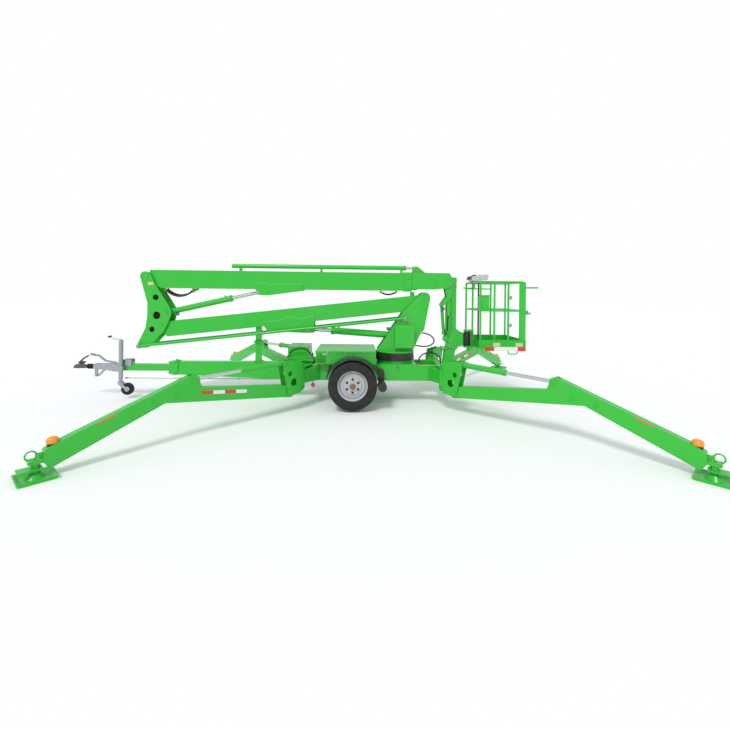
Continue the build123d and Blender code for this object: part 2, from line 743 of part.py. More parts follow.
# ------------------------------------------------------------------ slewing ring and turret
ring_bore = ring_radius - 110
with BuildPart() as slew_ring:
    upright(slew_x, 0, ring_base_z, ring_split_z, ring_radius)
    upright(slew_x, 0, ring_base_z - 1, ring_split_z + 1, ring_bore, Mode.SUBTRACT)
save(slew_ring, "slew_ring")
with BuildPart() as slew_gear:
    upright(slew_x, 0, ring_split_z + 0.5, ring_top_z, ring_radius - 6)
    upright(slew_x, 0, ring_split_z, ring_top_z + 1, ring_bore, Mode.SUBTRACT)
save(slew_gear, "slew_gear")

turret_floor = ring_top_z + turret_base
with BuildPart() as turret:
    upright(slew_x, 0, ring_top_z, turret_floor, ring_radius + 2)
    for side in (-1, 1):
        y = side * (turret_gap + turret_plate / 2)
        with BuildSketch(Plane.XZ.offset(-y)) as cheeks:
            with BuildLine():
                Polyline(
                    (at(110), turret_floor - 1), (at(700), turret_floor - 1), (at(725), 884),
                    (at(843), 1144),
                    (at(911), 1231), (at(1009), 1752), (boom_pin[0], boom_pin[1]), (at(845), 1846),
                    (at(544), 1538), (at(110), 884), close=True,
                )
            make_face()
            with Locations(boom_pin):
                Circle(95)
        extrude(amount=turret_plate / 2, both=True)
        cross_pin(tie_turret_pin, tie_pin, tie_y + 36 - turret_gap, side * (turret_gap + tie_y + 36) / 2)
        cross_pin(tie_turret_pin, 40, 8, side * (turret_gap + turret_plate + 2))
        hull_plate([(boom_pin[0], boom_pin[1], 48)], side * (turret_gap + turret_plate + 4), 10)
    cross_pin(boom_pin, main_pin, 2 * (turret_gap + turret_plate + 16))
    cross_pin(lower_ram_foot, ram_foot_pin, 2 * (turret_gap + turret_plate) - 2)
    # web between the cheeks, under the ram's foot
    side_plate(
        [
            (at(330), turret_floor - 1), (at(700), turret_floor - 1), (at(690), 960), (at(660), 960),
            (at(610), turret_floor + 14), (at(330), turret_floor + 14)
        ],
        0, 2 * turret_gap + 2
    )
    hull_plate([(at(640), 1330, 24)], 0, 2 * turret_gap + 2)
save(turret, "turret")

with BuildPart() as turret_cover:
    for side in (-1, 1):
        near, far = side * (turret_gap + turret_plate + 0.3), side * 215
        shell = [(at(401), 921), (at(730), 921), (at(730), 1280), (at(700), 1310), (at(401), 1310)]
        inner = [(at(405), 925), (at(726), 925), (at(726), 1278), (at(698), 1306), (at(405), 1306)]
        side_plate(shell, (near + far) / 2, abs(far - near))
        side_plate(inner, (near + far) / 2 - side * 4, abs(far - near), Mode.SUBTRACT)
save(turret_cover, "turret_cover")

# ------------------------------------------------------------------ lower boom
line = (knuckle_pin[0] - boom_pin[0], knuckle_pin[1] - boom_pin[1])
boom_length = hypot(*line)
boom_dir = (line[0] / boom_length, line[1] / boom_length)
boom_up = (boom_dir[1], -boom_dir[0])


def boom_point(u, w):
    """Point (x, z) on the lower boom: u from its turret pin towards the knuckle, w above."""
    return (boom_pin[0] + u * boom_dir[0] + w * boom_up[0], boom_pin[1] + u * boom_dir[1] + w * boom_up[1])


half_depth = lower_boom_depth / 2
boom_low = -lower_boom_sag - half_depth
boom_high = -lower_boom_sag + half_depth
wall = lower_boom_wall
with BuildPart() as lower_boom:
    side_plate(
        [
            boom_point(0, boom_high), boom_point(boom_length - 30, boom_high), boom_point(
                boom_length + 20, boom_low + 100
            ),
            boom_point(boom_length - 75, boom_low), boom_point(50, boom_low), boom_point(-10, boom_low + 70),
        ],
        0, boom_width,
    )
    side_plate(
        [
            boom_point(80, boom_high - wall), boom_point(boom_length - 90, boom_high - wall),
            boom_point(boom_length - 90, boom_low + wall), boom_point(80, boom_low + wall),
        ],
        0, boom_width - 2 * wall, Mode.SUBTRACT,
    )
    for pin in (boom_pin, knuckle_pin):
        cross_pin(pin, 60, 2 * turret_gap - 6)
        cross_pin(pin, main_pin + pin_gap, 2 * turret_gap, mode=Mode.SUBTRACT)
    # cheeks that carry the eye of the lower ram
    for side in (-1, 1):
        side_plate(
            [
                (at(-1840), 1330), (at(-1840), 1240), (at(-1790), 1175), (at(-1100), 1150),
                (at(-986), 1158),
                (at(-986), 1440), (at(-1060), 1436), (at(-1200), 1390), (at(-1330), 1418),
                (at(-1450), 1410),
                (at(-1600), 1360),
            ],
            side * (boom_width / 2 + cheek / 2 - 0.5), cheek,
        )
    # post that comes down on the drawbar's rest
    block(
        (rest_x - rest_side / 2, rest_x + rest_side / 2), (-rest_side / 2, rest_side / 2),
        (rest_joint_z, 1262)
    )
    block((rest_x - 70, rest_x + 70), (-70, 70), (rest_joint_z, rest_joint_z + 12))
    # pad that the upper boom comes down on
    block(
        (at(680), at(745)), (-50, 50), (1740, upper_boom_top - upper_boom_depth - collar_rim - running_gap)
    )
save(lower_boom, "lower_boom")

with BuildPart() as tie_rods:
    for side in (-1, 1):
        near = along(tie_turret_pin, tie_knuckle_pin, 60)
        far = along(tie_knuckle_pin, tie_turret_pin, 60)
        start, end = (tie_turret_pin[0], side * tie_y, tie_turret_pin[1]), (
            tie_knuckle_pin[0], side * tie_y, tie_knuckle_pin[1]
        )
        rod_between(start, end, tie_radius)
        rod_between(
            (near[0], side * tie_y, near[1]), (far[0], side * tie_y, far[1]), tie_radius - 5, Mode.SUBTRACT
        )
        for pin in (tie_turret_pin, tie_knuckle_pin):
            cross_pin(pin, 40, 40, side * tie_y)
            cross_pin(pin, tie_pin + pin_gap, 60, side * tie_y, Mode.SUBTRACT)
save(tie_rods, "tie_rods")

lower_barrel = 1180.0
lower_ram_radius = 58.0
eye_width = boom_width - 2 * eye_gap
with BuildPart() as lower_ram_barrel:
    ram_barrel(lower_ram_foot, lower_ram_eye, lower_barrel, lower_ram_radius, ram_foot_pin, 100)
save(lower_ram_barrel, "lower_ram_barrel")
with BuildPart() as lower_ram_rod:
    ram_rod(lower_ram_foot, lower_ram_eye, 160, lower_ram_radius, 46, eye_width)
save(lower_ram_rod, "lower_ram_rod")

# ------------------------------------------------------------------ knuckle
knuckle_holes = [(-3684, 1735, 50), (-3667, 1427, 66), (-3745, 1190, 50)]
with BuildPart() as knuckle:
    for side in (-1, 1):
        y = side * (turret_gap + turret_plate / 2)
        with BuildSketch(Plane.XZ.offset(-y)) as cheeks:
            with BuildLine():
                Polyline(
                    (at(-3952), 2090), (at(-3865), 2178), (at(-3780), 2130), (at(-3690), 1950),
                    (at(-3432), 1540),
                    (at(-3418), 1470), (at(-3460), 1330), (at(-3540), 1160), (at(-3700), 1000),
                    (at(-3790), 880),
                    (at(-3960), 868), (at(-3985), 930), (at(-3850), 1210), (at(-3822), 1420),
                    (at(-3822), 1640),
                    close=True,
                )
            make_face()
            fillet(cheeks.vertices().filter_by(lambda v: v.Z < 940 or v.Z > 1960), 18)
            with Locations(upper_pin):
                Circle(86)
        extrude(amount=turret_plate / 2, both=True)
        for x, z, r in knuckle_holes:
            cross_pin((at(x), z), r, 40, y, Mode.SUBTRACT)
        cross_pin(tie_knuckle_pin, tie_pin, tie_y + 36 - turret_gap, side * (turret_gap + tie_y + 36) / 2)
        for pin, r in ((upper_pin, 46), (knuckle_pin, 46), (upper_ram_foot, 38)):
            cross_pin(pin, r, 8, side * (turret_gap + turret_plate + 3))
    for pin, r in ((upper_pin, main_pin), (knuckle_pin, main_pin), (upper_ram_foot, ram_foot_pin)):
        cross_pin(pin, r, 2 * (turret_gap + turret_plate + 10))
    cross_pin(tie_knuckle_pin, 34, 2 * turret_gap + 2)
    cross_pin((at(-3770), 1560), 24, 2 * turret_gap + 2)
save(knuckle, "knuckle")

upper_barrel = 1120.0
upper_ram_radius = 50.0
with BuildPart() as upper_ram_barrel:
    ram_barrel(upper_ram_foot, upper_ram_eye, upper_barrel, upper_ram_radius, ram_foot_pin, 100)
save(upper_ram_barrel, "upper_ram_barrel")
with BuildPart() as upper_ram_rod:
    ram_rod(upper_ram_foot, upper_ram_eye, 170, upper_ram_radius, 42, eye_width)
save(upper_ram_rod, "upper_ram_rod")

# ------------------------------------------------------------------ upper boom and its telescope
upper_low = upper_boom_top - upper_boom_depth
boom_half = boom_width / 2
upper_end = at(upper_boom_end0)
collar_end = upper_end + collar_length
inner_half_width = boom_half - upper_boom_wall - slide_gap
inner_z = (upper_low + upper_boom_wall + slide_gap, upper_boom_top - upper_boom_wall - slide_gap)
inner_start = at(inner_start0)
ram_span = (at(-2430), at(600))
ram_bore = 24.0
with BuildPart() as upper_boom:
    side_plate(
        [
            (upper_pin[0] + 60, upper_boom_top), (upper_end, upper_boom_top), (upper_end, upper_low),
            (upper_pin[0] + 250, upper_low), (upper_pin[0] + 60, upper_low + 90),
        ],
        0, boom_width,
    )
    block(
        (upper_end, collar_end), (-boom_half - collar_rim, boom_half + collar_rim),
        (upper_low - collar_rim, upper_boom_top + collar_rim)
    )
    void_z = (upper_low + upper_boom_wall, upper_boom_top - upper_boom_wall)
    block(
        (at(-3450), collar_end + 1), (-boom_half + upper_boom_wall, boom_half - upper_boom_wall), void_z,
        Mode.SUBTRACT
    )
    # wear ring at the mouth, which the inner boom runs in
    ring_x = (collar_end - 50, collar_end)
    block(ring_x, (upper_boom_wall - boom_half, boom_half - upper_boom_wall), void_z)
    snug = inner_half_width + pin_gap
    block(
        (ring_x[0] - 1, ring_x[1] + 1), (-snug, snug), (inner_z[0] - pin_gap, inner_z[1] + pin_gap),
        Mode.SUBTRACT
    )
    hull_plate([(upper_pin[0], upper_pin[1], 74), (upper_pin[0] + 100, upper_pin[1], 74)], 0, boom_width)
    cross_pin(upper_pin, 60, 2 * turret_gap - 6)
    cross_pin(upper_pin, main_pin + pin_gap, 2 * turret_gap, mode=Mode.SUBTRACT)
    # fittings of the hose under the boom
    gland(boom_hose_route[0], boom_hose_route[1], boom_hose_radius + 5, 112)
    gland(boom_hose_route[-1], boom_hose_route[-2], boom_hose_radius + 5, 116)
    # wear pad screws' squares on the collar
    for side in (-1, 1):
        for z in (upper_low + 70, upper_boom_top - 70):
            block(
                (upper_end + 35, upper_end + 105),
                sorted((side * (boom_half + 11), side * (boom_half + 20))), (z - 35, z + 35)
            )
        side_plate(
            [
                (at(-2003), 1990), (at(-2003), upper_low - 10), (at(-1950), 1800), (at(-1900), 1790),
                (at(-1820), 1790),
                (at(-1182), 1880), (at(-1182), 1990), (at(-1330), 1996), (at(-1450), 1975),
                (at(-1600), 1996),
                (at(-1760), 1960), (at(-1880), 2010),
            ],
            side * (boom_half + cheek / 2 - 0.5), cheek,
        )
    # saddles of the telescope ram
    for x, z0 in ((-2300, upper_boom_top - 1), (-900, upper_boom_top - 1), (500, upper_boom_top - 1)):
        block((at(x), at(x + 36)), (-34, 34), (z0, telescope_z - telescope_radius + 6))
        rod_between(
            (at(x) - 1, 0, telescope_z), (at(x + 37), 0, telescope_z), telescope_radius + 0.3, Mode.SUBTRACT
        )
save(upper_boom, "upper_boom")

with BuildPart() as hose_boom:
    hose(boom_hose_route, boom_hose_radius)
save(hose_boom, "hose_boom")

with BuildPart() as telescope_barrel:
    rod_between((ram_span[0], 0, telescope_z), (ram_span[1], 0, telescope_z), telescope_radius)
    rod_between((ram_span[1] - 50, 0, telescope_z), (ram_span[1], 0, telescope_z), telescope_radius + 5)
    rod_between(
        (ram_span[0] + 40, 0, telescope_z), (ram_span[1] - 45, 0, telescope_z), ram_bore, Mode.SUBTRACT
    )
    gland_bore = telescope_rod_radius + pin_gap
    rod_between(
        (ram_span[1] - 46, 0, telescope_z), (ram_span[1] + 1, 0, telescope_z), gland_bore, Mode.SUBTRACT
    )
save(telescope_barrel, "telescope_barrel")

nose_start = collar_end + running_gap
nose_length = 90.0
with BuildPart() as inner_boom:
    block((inner_start, nose_start + nose_length), (-inner_half_width, inner_half_width), inner_z)
    # wear pads on the tail, a running fit in the outer boom
    grown = slide_gap - pin_gap
    pad_z = (inner_z[0] - grown, inner_z[1] + grown)
    block((inner_start, inner_start + 60), (-inner_half_width - grown, inner_half_width + grown), pad_z)
    void_y = (-inner_half_width + inner_wall, inner_half_width - inner_wall)
    block(
        (inner_start - 1, nose_start - 60), void_y, (inner_z[0] + inner_wall, inner_z[1] - inner_wall),
        Mode.SUBTRACT
    )
    block(
        (nose_start, nose_start + nose_length), (-nose_gap - 1, nose_gap + 1),
        (inner_z[0] + 16, inner_z[1] + 6)
    )
    for side in (-1, 1):
        hull_plate(
            [
                (nose_start + 20, 2196, 20), (nose_start + 20, 1950, 20), (at(1110), 1975, 48),
                (at(1300), 2010, 60),
                (level_pin[0], level_pin[1], 78), (at(1330), 2170, 40),
            ],
            side * (nose_gap + head_plate / 2), head_plate,
        )
        for x, z, r in ((1100, 2085, 26), (1122, 1990, 20)):
            cross_pin((at(x), z), r, 8, side * (nose_gap + head_plate + 3))
    cross_pin((at(1100), 2085), 20, 2 * nose_gap + 2)
    cross_pin(level_pin, main_pin + pin_gap, 250, mode=Mode.SUBTRACT)
    # bracket for the head of the telescope ram
    for side in (-1, 1):
        side_plate(
            [
                (nose_start + 8, inner_z[1] - 5), (nose_start + 8, 2322), (nose_start + 100, 2322),
                (nose_start + 230, 2215), (nose_start + nose_length, inner_z[1] - 5),
            ],
            side * 40, 10,
        )
    block((nose_start + 8, nose_start + 40), (-40, 40), (inner_z[1] - 5, 2322))
    rod_between(
        (nose_start, 0, telescope_z), (nose_start + 41, 0, telescope_z), telescope_rod_radius + pin_gap,
        Mode.SUBTRACT
    )
save(inner_boom, "inner_boom")
with BuildPart() as telescope_rod:
    rod_between((at(-2380), 0, telescope_z), (nose_start + 38, 0, telescope_z), telescope_rod_radius)
save(telescope_rod, "telescope_rod")

# ------------------------------------------------------------------ jib
head_y = head_gap + head_plate / 2
head_span = 2 * (head_gap + head_plate + 6)
with BuildPart() as jib_head:
    for side in (-1, 1):
        hull_plate(
            [
                (jib_pin[0] - 60, 2112, 28), (link_pin[0] + 14, 2112, 28), (link_pin[0], link_pin[1], 42),
                (jib_pin[0] + 20, jib_pin[1] + 60, 40), (jib_pin[0] - 62, 1990, 34),
            ],
            side * head_y, head_plate,
        )
        hull_plate([(jib_pin[0], jib_pin[1], 44), (jib_pin[0] - 20, 1990, 60)], side * head_y, head_plate)
        hull_plate(
            [(jib_pin[0], jib_pin[1], 40), (jib_ram_foot[0], jib_ram_foot[1], 30)], side * head_y,
            head_plate
        )
    cross_pin(level_pin, main_pin, 2 * (nose_gap + head_plate + 12))
    cross_pin(jib_pin, small_pin, head_span)
    cross_pin(link_pin, small_pin, head_span)
    cross_pin(jib_ram_foot, jib_ram_pin, head_span)
save(jib_head, "jib_head")

with BuildPart() as jib:
    hull_plate(
        [(jib_pin[0], jib_pin[1], jib_depth / 2), (jib_foot_pin[0], jib_foot_pin[1], jib_depth / 2 - 3)], 0,
        2 * jib_half_width
    )
    channel_z = (jib_foot_pin[1] + 60, jib_pin[1] + 60)
    channel_x = (jib_pin[0] - 60, jib_pin[0] + jib_depth / 2 - jib_wall)
    channel_y = (-jib_half_width + jib_wall, jib_half_width - jib_wall)
    block(channel_x, channel_y, channel_z, Mode.SUBTRACT)
    for side in (-1, 1):
        hull_plate(
            [
                (jib_pin[0] - 20, jib_ram_eye[1] + 90, 15), (jib_pin[0] - 20, jib_ram_eye[1] - 60, 15),
                (jib_ram_eye[0], jib_ram_eye[1], 26)
            ],
            side * (jib_half_width - jib_wall / 2), jib_wall,
        )
    cross_pin(jib_pin, small_pin + pin_gap, 200, mode=Mode.SUBTRACT)
    cross_pin(jib_foot_pin, small_pin + pin_gap, 200, mode=Mode.SUBTRACT)
    # fittings of the jib's hose, on the side plate
    gland(jib_hose_route[0], jib_hose_route[1], jib_hose_radius + 4, 78)
    gland(jib_hose_route[-1], jib_hose_route[-2], jib_hose_radius + 4, 76)
save(jib, "jib")

with BuildPart() as hose_jib:
    hose(jib_hose_route, jib_hose_radius)
save(hose_jib, "hose_jib")

with BuildPart() as jib_link:
    hull_plate(
        [(link_pin[0], link_pin[1], link_depth / 2), (link_foot_pin[0], link_foot_pin[1], link_depth / 2)],
        0, 2 * jib_half_width
    )
    void_x = (link_pin[0] - link_depth / 2 + jib_wall, link_pin[0] + link_depth / 2 - jib_wall)
    void_y = (-jib_half_width + jib_wall, jib_half_width - jib_wall)
    block(void_x, void_y, (link_foot_pin[1] + 60, link_pin[1] - 60), Mode.SUBTRACT)
    cross_pin(link_pin, small_pin + pin_gap, 200, mode=Mode.SUBTRACT)
    cross_pin(link_foot_pin, small_pin + pin_gap, 200, mode=Mode.SUBTRACT)
save(jib_link, "jib_link")

jib_barrel = 520.0
jib_ram_radius = 28.0
with BuildPart() as jib_ram_barrel:
    ram_barrel(jib_ram_foot, jib_ram_eye, jib_barrel, jib_ram_radius, jib_ram_pin, 56)
save(jib_ram_barrel, "jib_ram_barrel")
with BuildPart() as jib_ram_rod:
    ram_rod(jib_ram_foot, jib_ram_eye, 70, jib_ram_radius, 22, 2 * (jib_half_width - jib_wall - eye_gap))
save(jib_ram_rod, "jib_ram_rod")

mount_face = at(1600)
with BuildPart() as basket_mount:
    for side in (-1, 1):
        hull_plate(
            [
                (jib_foot_pin[0], jib_foot_pin[1], 38), (link_foot_pin[0], link_foot_pin[1], 40),
                (at(1550), 1160, 24), (at(1550), 974, 24),
            ],
            side * head_y, head_plate,
        )
    cross_pin(jib_foot_pin, small_pin, head_span)
    cross_pin(link_foot_pin, small_pin, head_span)
    mount_half = head_gap + head_plate
    block((at(1520), mount_face), (-mount_half, mount_half), (rotator_z[0], 1184))
    block(
        (at(1526), mount_face - 6), (6 - mount_half, mount_half - 6), (rotator_z[0] + 6, 1178),
        Mode.SUBTRACT
    )
save(basket_mount, "basket_mount")

with BuildPart() as rotator:
    block((mount_face + 0.3, rotator_x), (-50, 50), (rotator_z[0] + 20, rotator_z[1] - 20))
    upright(rotator_x, 0, rotator_z[0], rotator_z[1], rotator_radius)
    upright(rotator_x, 0, rotator_z[0] - 1, rotator_z[1] + 1, 30 + pin_gap, Mode.SUBTRACT)
    block((mount_face + 0.3, mount_face + 14), (-66, 66), (rotator_z[0] + 6, rotator_z[1] - 12))
save(rotator, "rotator")

# ------------------------------------------------------------------ basket
post_inset = rail_radius
rail_y = basket_half - rail_radius
# posts as (distance from the basket's left end, side)
posts = [(22, -1), (253, -1), (484, -1), (22, 1), (253, 1), (484, 1), (basket_depth - post_inset, 1)]
gate_post = (basket_depth - 105, basket_depth - 5)
lug_z = ((915, 944), (1196, 1226))
with BuildPart() as basket_frame:
    for z, r in ((rail_z, rail_radius), (mid_rail_z, mid_rail_radius)):
        with BuildSketch(Plane.XY.offset(z)) as loop:
            with Locations(((basket_left + basket_right) / 2, 0)):
                RectangleRounded(basket_depth - 2 * rail_radius, basket_width - 2 * rail_radius, 70)
        path = loop.sketch.faces()[0].outer_wire()
        with BuildSketch(Plane(origin=path @ 0, z_dir=path % 0)) as section:
            Circle(r)
        sweep(section.sketch, path=path)
    for dx, sy in posts:
        upright(basket_left + dx, sy * rail_y, basket_floor_z + 5, rail_z, post_radius)
    gate_x = (basket_left + gate_post[0], basket_left + gate_post[1])
    block(gate_x, (-basket_half + 2, -basket_half + 34), (basket_floor_z + 5, rail_z))
    upright(basket_left + rail_radius, 0, basket_floor_z + 5, rail_z, post_radius)
    # lugs either side of the rotator, on a plate fixed to the middle post
    for z0, z1 in lug_z:
        block((rotator_x, basket_left + 5), (-60, 60), (z0, z1))
        upright(rotator_x, 0, z0, z1, 64)
    upright(rotator_x, 0, lug_z[0][0] + 10, lug_z[1][1] - 10, 30)
    block((basket_left - 10, basket_left + 6), (-110, 110), (lug_z[0][0], lug_z[1][1]))
    # drop bar inside the far rail, its handle beyond the entrance, and a stub on the console's side
    rod_between(
        (basket_left + posts[3][0], rail_y, drop_bar_z), (basket_left + posts[5][0], rail_y, drop_bar_z), 11
    )
    rod_between((basket_right - 40, -rail_y, drop_bar_z + 10), (at(2744), -rail_y, drop_bar_z + 14), 13)
    rod_between((at(1590), -100, drop_bar_z), (basket_left + rail_radius, -100, drop_bar_z), 11)
    rod_between(
        (basket_left + rail_radius, -100, drop_bar_z - 8), (basket_left + rail_radius, -100, rail_z), 11
    )
    # step hung under the entrance
    step_x = at(2331)
    bent_bar(
        [
            (step_x - 75, -basket_half + 12, basket_floor_z + 40), (step_x - 75, -basket_half + 12, 866),
            (step_x + 75, -basket_half + 12, 866), (step_x + 75, -basket_half + 12, basket_floor_z + 40),
        ],
        9, 30,
    )
    # gate hinges and latch
    for z in (1800, 1344):
        upright(basket_left + 484, -rail_y - 20, z - 30, z + 30, 12)
    block((basket_right - 8, basket_right + 34), (-basket_half + 2, -basket_half + 30), (1520, 1590))
save(basket_frame, "basket_frame")

with BuildPart() as basket_floor:
    block(
        (basket_left, basket_right), (-basket_half, basket_half),
        (basket_floor_z, basket_floor_z + toe_height)
    )
    inside = (-basket_half + toe_wall, basket_half - toe_wall)
    above = (basket_floor_z + 5, basket_floor_z + toe_height + 1)
    block((basket_left + toe_wall, basket_right - toe_wall), inside, above, Mode.SUBTRACT)
    grown = post_radius + pin_gap
    above_floor = (basket_floor_z + 4.7, basket_floor_z + toe_height + 2)
    for dx, sy in posts + [(rail_radius, 0)]:
        upright(basket_left + dx, sy * rail_y, above_floor[0], above_floor[1], grown, Mode.SUBTRACT)
    block(
        (gate_x[0] - pin_gap, gate_x[1] + pin_gap),
        (-basket_half + 2 - pin_gap, -basket_half + 34 + pin_gap), above_floor, Mode.SUBTRACT
    )
    block(
        (basket_left - 1, basket_left + 6 + pin_gap), (-110 - pin_gap, 110 + pin_gap),
        (basket_floor_z - 1, above_floor[1]), Mode.SUBTRACT
    )
    for dx in (-75, 75):
        upright(
            step_x + dx, -basket_half + 12, basket_floor_z - 1, above_floor[1], 9 + pin_gap, Mode.SUBTRACT
        )
    # lamp strip brackets under the near edge
    block(
        (at(2010), basket_right), (-basket_half - 4, -basket_half + 1),
        (basket_floor_z, basket_floor_z + 44)
    )
save(basket_floor, "basket_floor")

with BuildPart() as console:
    post = basket_left + rail_radius
    side_plate(
        [
            (at(1700), 2112), (at(1745), 2080), (at(1985), 2100), (at(2000), 2176), (at(1975), 2196),
            (at(1720), 2160)
        ],
        -40, 300,
    )
    for y in (-170, 50):
        block((post - 27, post + 27), (y, y + 36), (rail_z - 8, 2100))
    rail = (post, -200, rail_z), (post, 140, rail_z)
    rod_between(rail[0], rail[1], rail_radius + pin_gap, Mode.SUBTRACT)
save(console, "console")

# ------------------------------------------------------------------ outriggers, in their own frame
lug_radius = 52.0
bracket_lugs = [(667, 697), (330, 365)]
pivot_radius = 28.0
ram_pin_radius = 22.0
with BuildPart() as bracket_form:
    for side in (-1, 1):
        y = side * (bracket_gap + bracket_plate / 2)
        hull_plate(
            [(78, 304, 20), (leg_pivot[0], leg_pivot[1], 56), (ram_pin[0], ram_pin[1], 46), (78, 772, 20)],
            y, bracket_plate,
        )
        for r, z, size in ((278, 600, 40), (205, 462, 58)):
            cross_pin((r, z), size, 40, y, Mode.SUBTRACT)
        for pin, size in ((leg_pivot, 44), (ram_pin, 36)):
            cross_pin(pin, size, 8, side * (bracket_gap + bracket_plate + 3))
    block((58, 72), (-bracket_gap - 6, bracket_gap + 6), (300, 760))
    for z0, z1 in bracket_lugs:
        with BuildSketch(Plane.XY.offset(z0)) as lug:
            with Locations((0, 0), (80, -45), (80, 45)):
                Circle(28)
            Circle(lug_radius)
            make_hull()
        extrude(lug.sketch, amount=z1 - z0)
    upright(0, 0, 300, 720, hinge_bore)
    cross_pin(leg_pivot, pivot_radius, 2 * (bracket_gap + bracket_plate + 10))
    cross_pin(ram_pin, ram_pin_radius, 2 * (bracket_gap + bracket_plate + 10))

leg_low = 262.0
leg_outline = [
    (380, 441), (1640, 622), (1668, 690), (1682, 770), (1750, 800), (foot_r - 122, 304), (foot_r - 57, 262),
    (foot_r - 57, 150), (foot_r - 102, 78), (2090, 506), (380, leg_low),
]
leg_hollows = [
    [(430, 440), (1634, 615), (1662, 640), (1700, 640), (1700, 458), (430, 276)],
    [(1800, 774), (3144, 298), (3206, 256), (3206, 156), (3166, 90), (2094, 514), (1800, 468)],
]
ring_place = (foot_r + 36, 229.0)
with BuildPart() as leg_form:
    hull_plate([(leg_pivot[0], leg_pivot[1], 80), (400, 352, 88)], 0, leg_width)
    side_plate(leg_outline, 0, leg_width, corner=16)
    for outline in leg_hollows:
        side_plate(outline, 0, leg_width - 2 * leg_wall, Mode.SUBTRACT)
    cross_pin(knee_pin, 48, leg_width + 14)
    for r, z in ((1953, 579), (2215, 550)):
        cross_pin((r, z), 34, leg_width + 12)
    block((1640, 1800), (-31, 31), (676, 860), Mode.SUBTRACT)
    cross_pin(leg_pivot, pivot_radius + pin_gap, 200, mode=Mode.SUBTRACT)
    # lifting ring and its lug
    hull_plate([(3196, 212, 30), (3262, 228, 14)], 0, 24)
    with Locations(Location((ring_place[0], 0, ring_place[1]), (90, 0, 0))):
        Torus(44, 8)
    # foot post and its plate
    upright(foot_r, 0, 30, 190, 36)
    block((foot_r - 112, foot_r + 60), (-48, 48), (150, 190))
    block((3218, 3414), (-70, 70), (94, 106))

with BuildPart() as pad_form:
    for outer, inner, mode in (
        ((300, 0), (pad_side, 34), Mode.ADD), ((236, 12), (pad_side - 16, 35), Mode.SUBTRACT)
    ):
        for side, z in (outer, inner):
            with BuildSketch(Plane.XY.offset(z)):
                with Locations((foot_r, 0)):
                    RectangleRounded(side, side, 24)
        loft(mode=mode)
    with BuildSketch(Plane.XY.offset(6)):
        with Locations((foot_r, 0)):
            Circle(88)
    with BuildSketch(Plane.XY.offset(58)):
        with Locations((foot_r, 0)):
            Circle(52)
    loft()

ram_length = 700.0
with BuildPart() as leg_barrel_form:
    ram_barrel(ram_pin, knee_pin, ram_length, 42, ram_pin_radius, 90)
with BuildPart() as leg_rod_form:
    ram_rod(ram_pin, knee_pin, 370, 42, 40, 54)

for name, sx, sy in corners:
    place = corner_place(sx, sy)
    for forms, kind in (
        ([bracket_form], "outrigger_bracket"), ([leg_barrel_form], "outrigger_barrel"),
        ([leg_rod_form], "outrigger_rod"), ([leg_form, pad_form], "outrigger_leg"),
    ):
        with BuildPart() as piece:
            with Locations(place):
                for form in forms:
                    add(form.part)
        save(piece, f"{kind}_{name}")

print("stance_x", round(stance_x, 3))
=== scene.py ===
# %% [markdown]
# # A towable boom lift, dressed for its picture
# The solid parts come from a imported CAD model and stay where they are. This lesson gives each of them a
# finish, adds the small things that CAD leaves out (tread, nuts, tape, lamps, hoses), and lights the scene.

from math import cos, pi, radians, sin

import bmesh
import bpy
from mathutils import Matrix, Vector


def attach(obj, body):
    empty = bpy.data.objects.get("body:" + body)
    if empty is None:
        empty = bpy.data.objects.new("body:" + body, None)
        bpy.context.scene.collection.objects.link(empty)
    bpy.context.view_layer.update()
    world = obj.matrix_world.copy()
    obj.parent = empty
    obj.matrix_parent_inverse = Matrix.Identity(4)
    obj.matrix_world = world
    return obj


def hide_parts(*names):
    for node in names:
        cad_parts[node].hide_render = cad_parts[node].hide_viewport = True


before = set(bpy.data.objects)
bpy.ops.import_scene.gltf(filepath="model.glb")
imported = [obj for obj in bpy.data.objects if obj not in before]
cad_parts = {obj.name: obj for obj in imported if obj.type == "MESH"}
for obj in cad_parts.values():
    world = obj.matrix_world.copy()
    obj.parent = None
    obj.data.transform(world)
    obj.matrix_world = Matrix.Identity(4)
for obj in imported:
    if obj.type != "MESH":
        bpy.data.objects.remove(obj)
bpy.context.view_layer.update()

# %% [markdown]
# Drawings of the machine measure X in millimetres from the middle of its outrigger stance. The packed
# model is in metres from the middle of its whole box, so one function turns a drawing's point into the scene's.

# %% Places
STANCE_X = 0.765683
HINGE_X, HINGE_Y, LEG_YAW = 1121.0, 624.0, radians(47.0)


def at(x, y, z):
    """Scene point, in metres, of a drawing's point in millimetres from the stance middle."""
    return Vector((x / 1000 + STANCE_X, y / 1000, z / 1000))


def on_leg(end, side, r, across, z):
    """Scene point on an outrigger: r out from its hinge, across its width, z above the ground."""
    out = Vector((end * cos(LEG_YAW), side * sin(LEG_YAW), 0))
    beside = Vector((-side * sin(LEG_YAW) * end, cos(LEG_YAW), 0)) * side
    hinge = at(end * HINGE_X, side * HINGE_Y, z)
    return hinge + out * (r / 1000) + beside * (across / 1000)


CORNERS = {"front_left": (-1, -1), "front_right": (-1, 1), "rear_left": (1, -1), "rear_right": (1, 1)}
print("a foot at", tuple(round(v, 3) for v in on_leg(-1, -1, 3272, 0, 0)))

# %% [markdown]
# Shaders want linear colour, while colour charts give sRGB codes. Every colour below goes through this
# function. A second helper adds a node and wires or sets its inputs, so that each material reads as a list.

# %% Node helpers


def srgb(code):
    """Linear colour of an sRGB hex code."""
    parts = [int(code[i:i + 2], 16) / 255 for i in (1, 3, 5)]
    return tuple(p / 12.92 if p <= 0.04045 else ((p + 0.055) / 1.055) ** 2.4 for p in parts) + (1.0,)


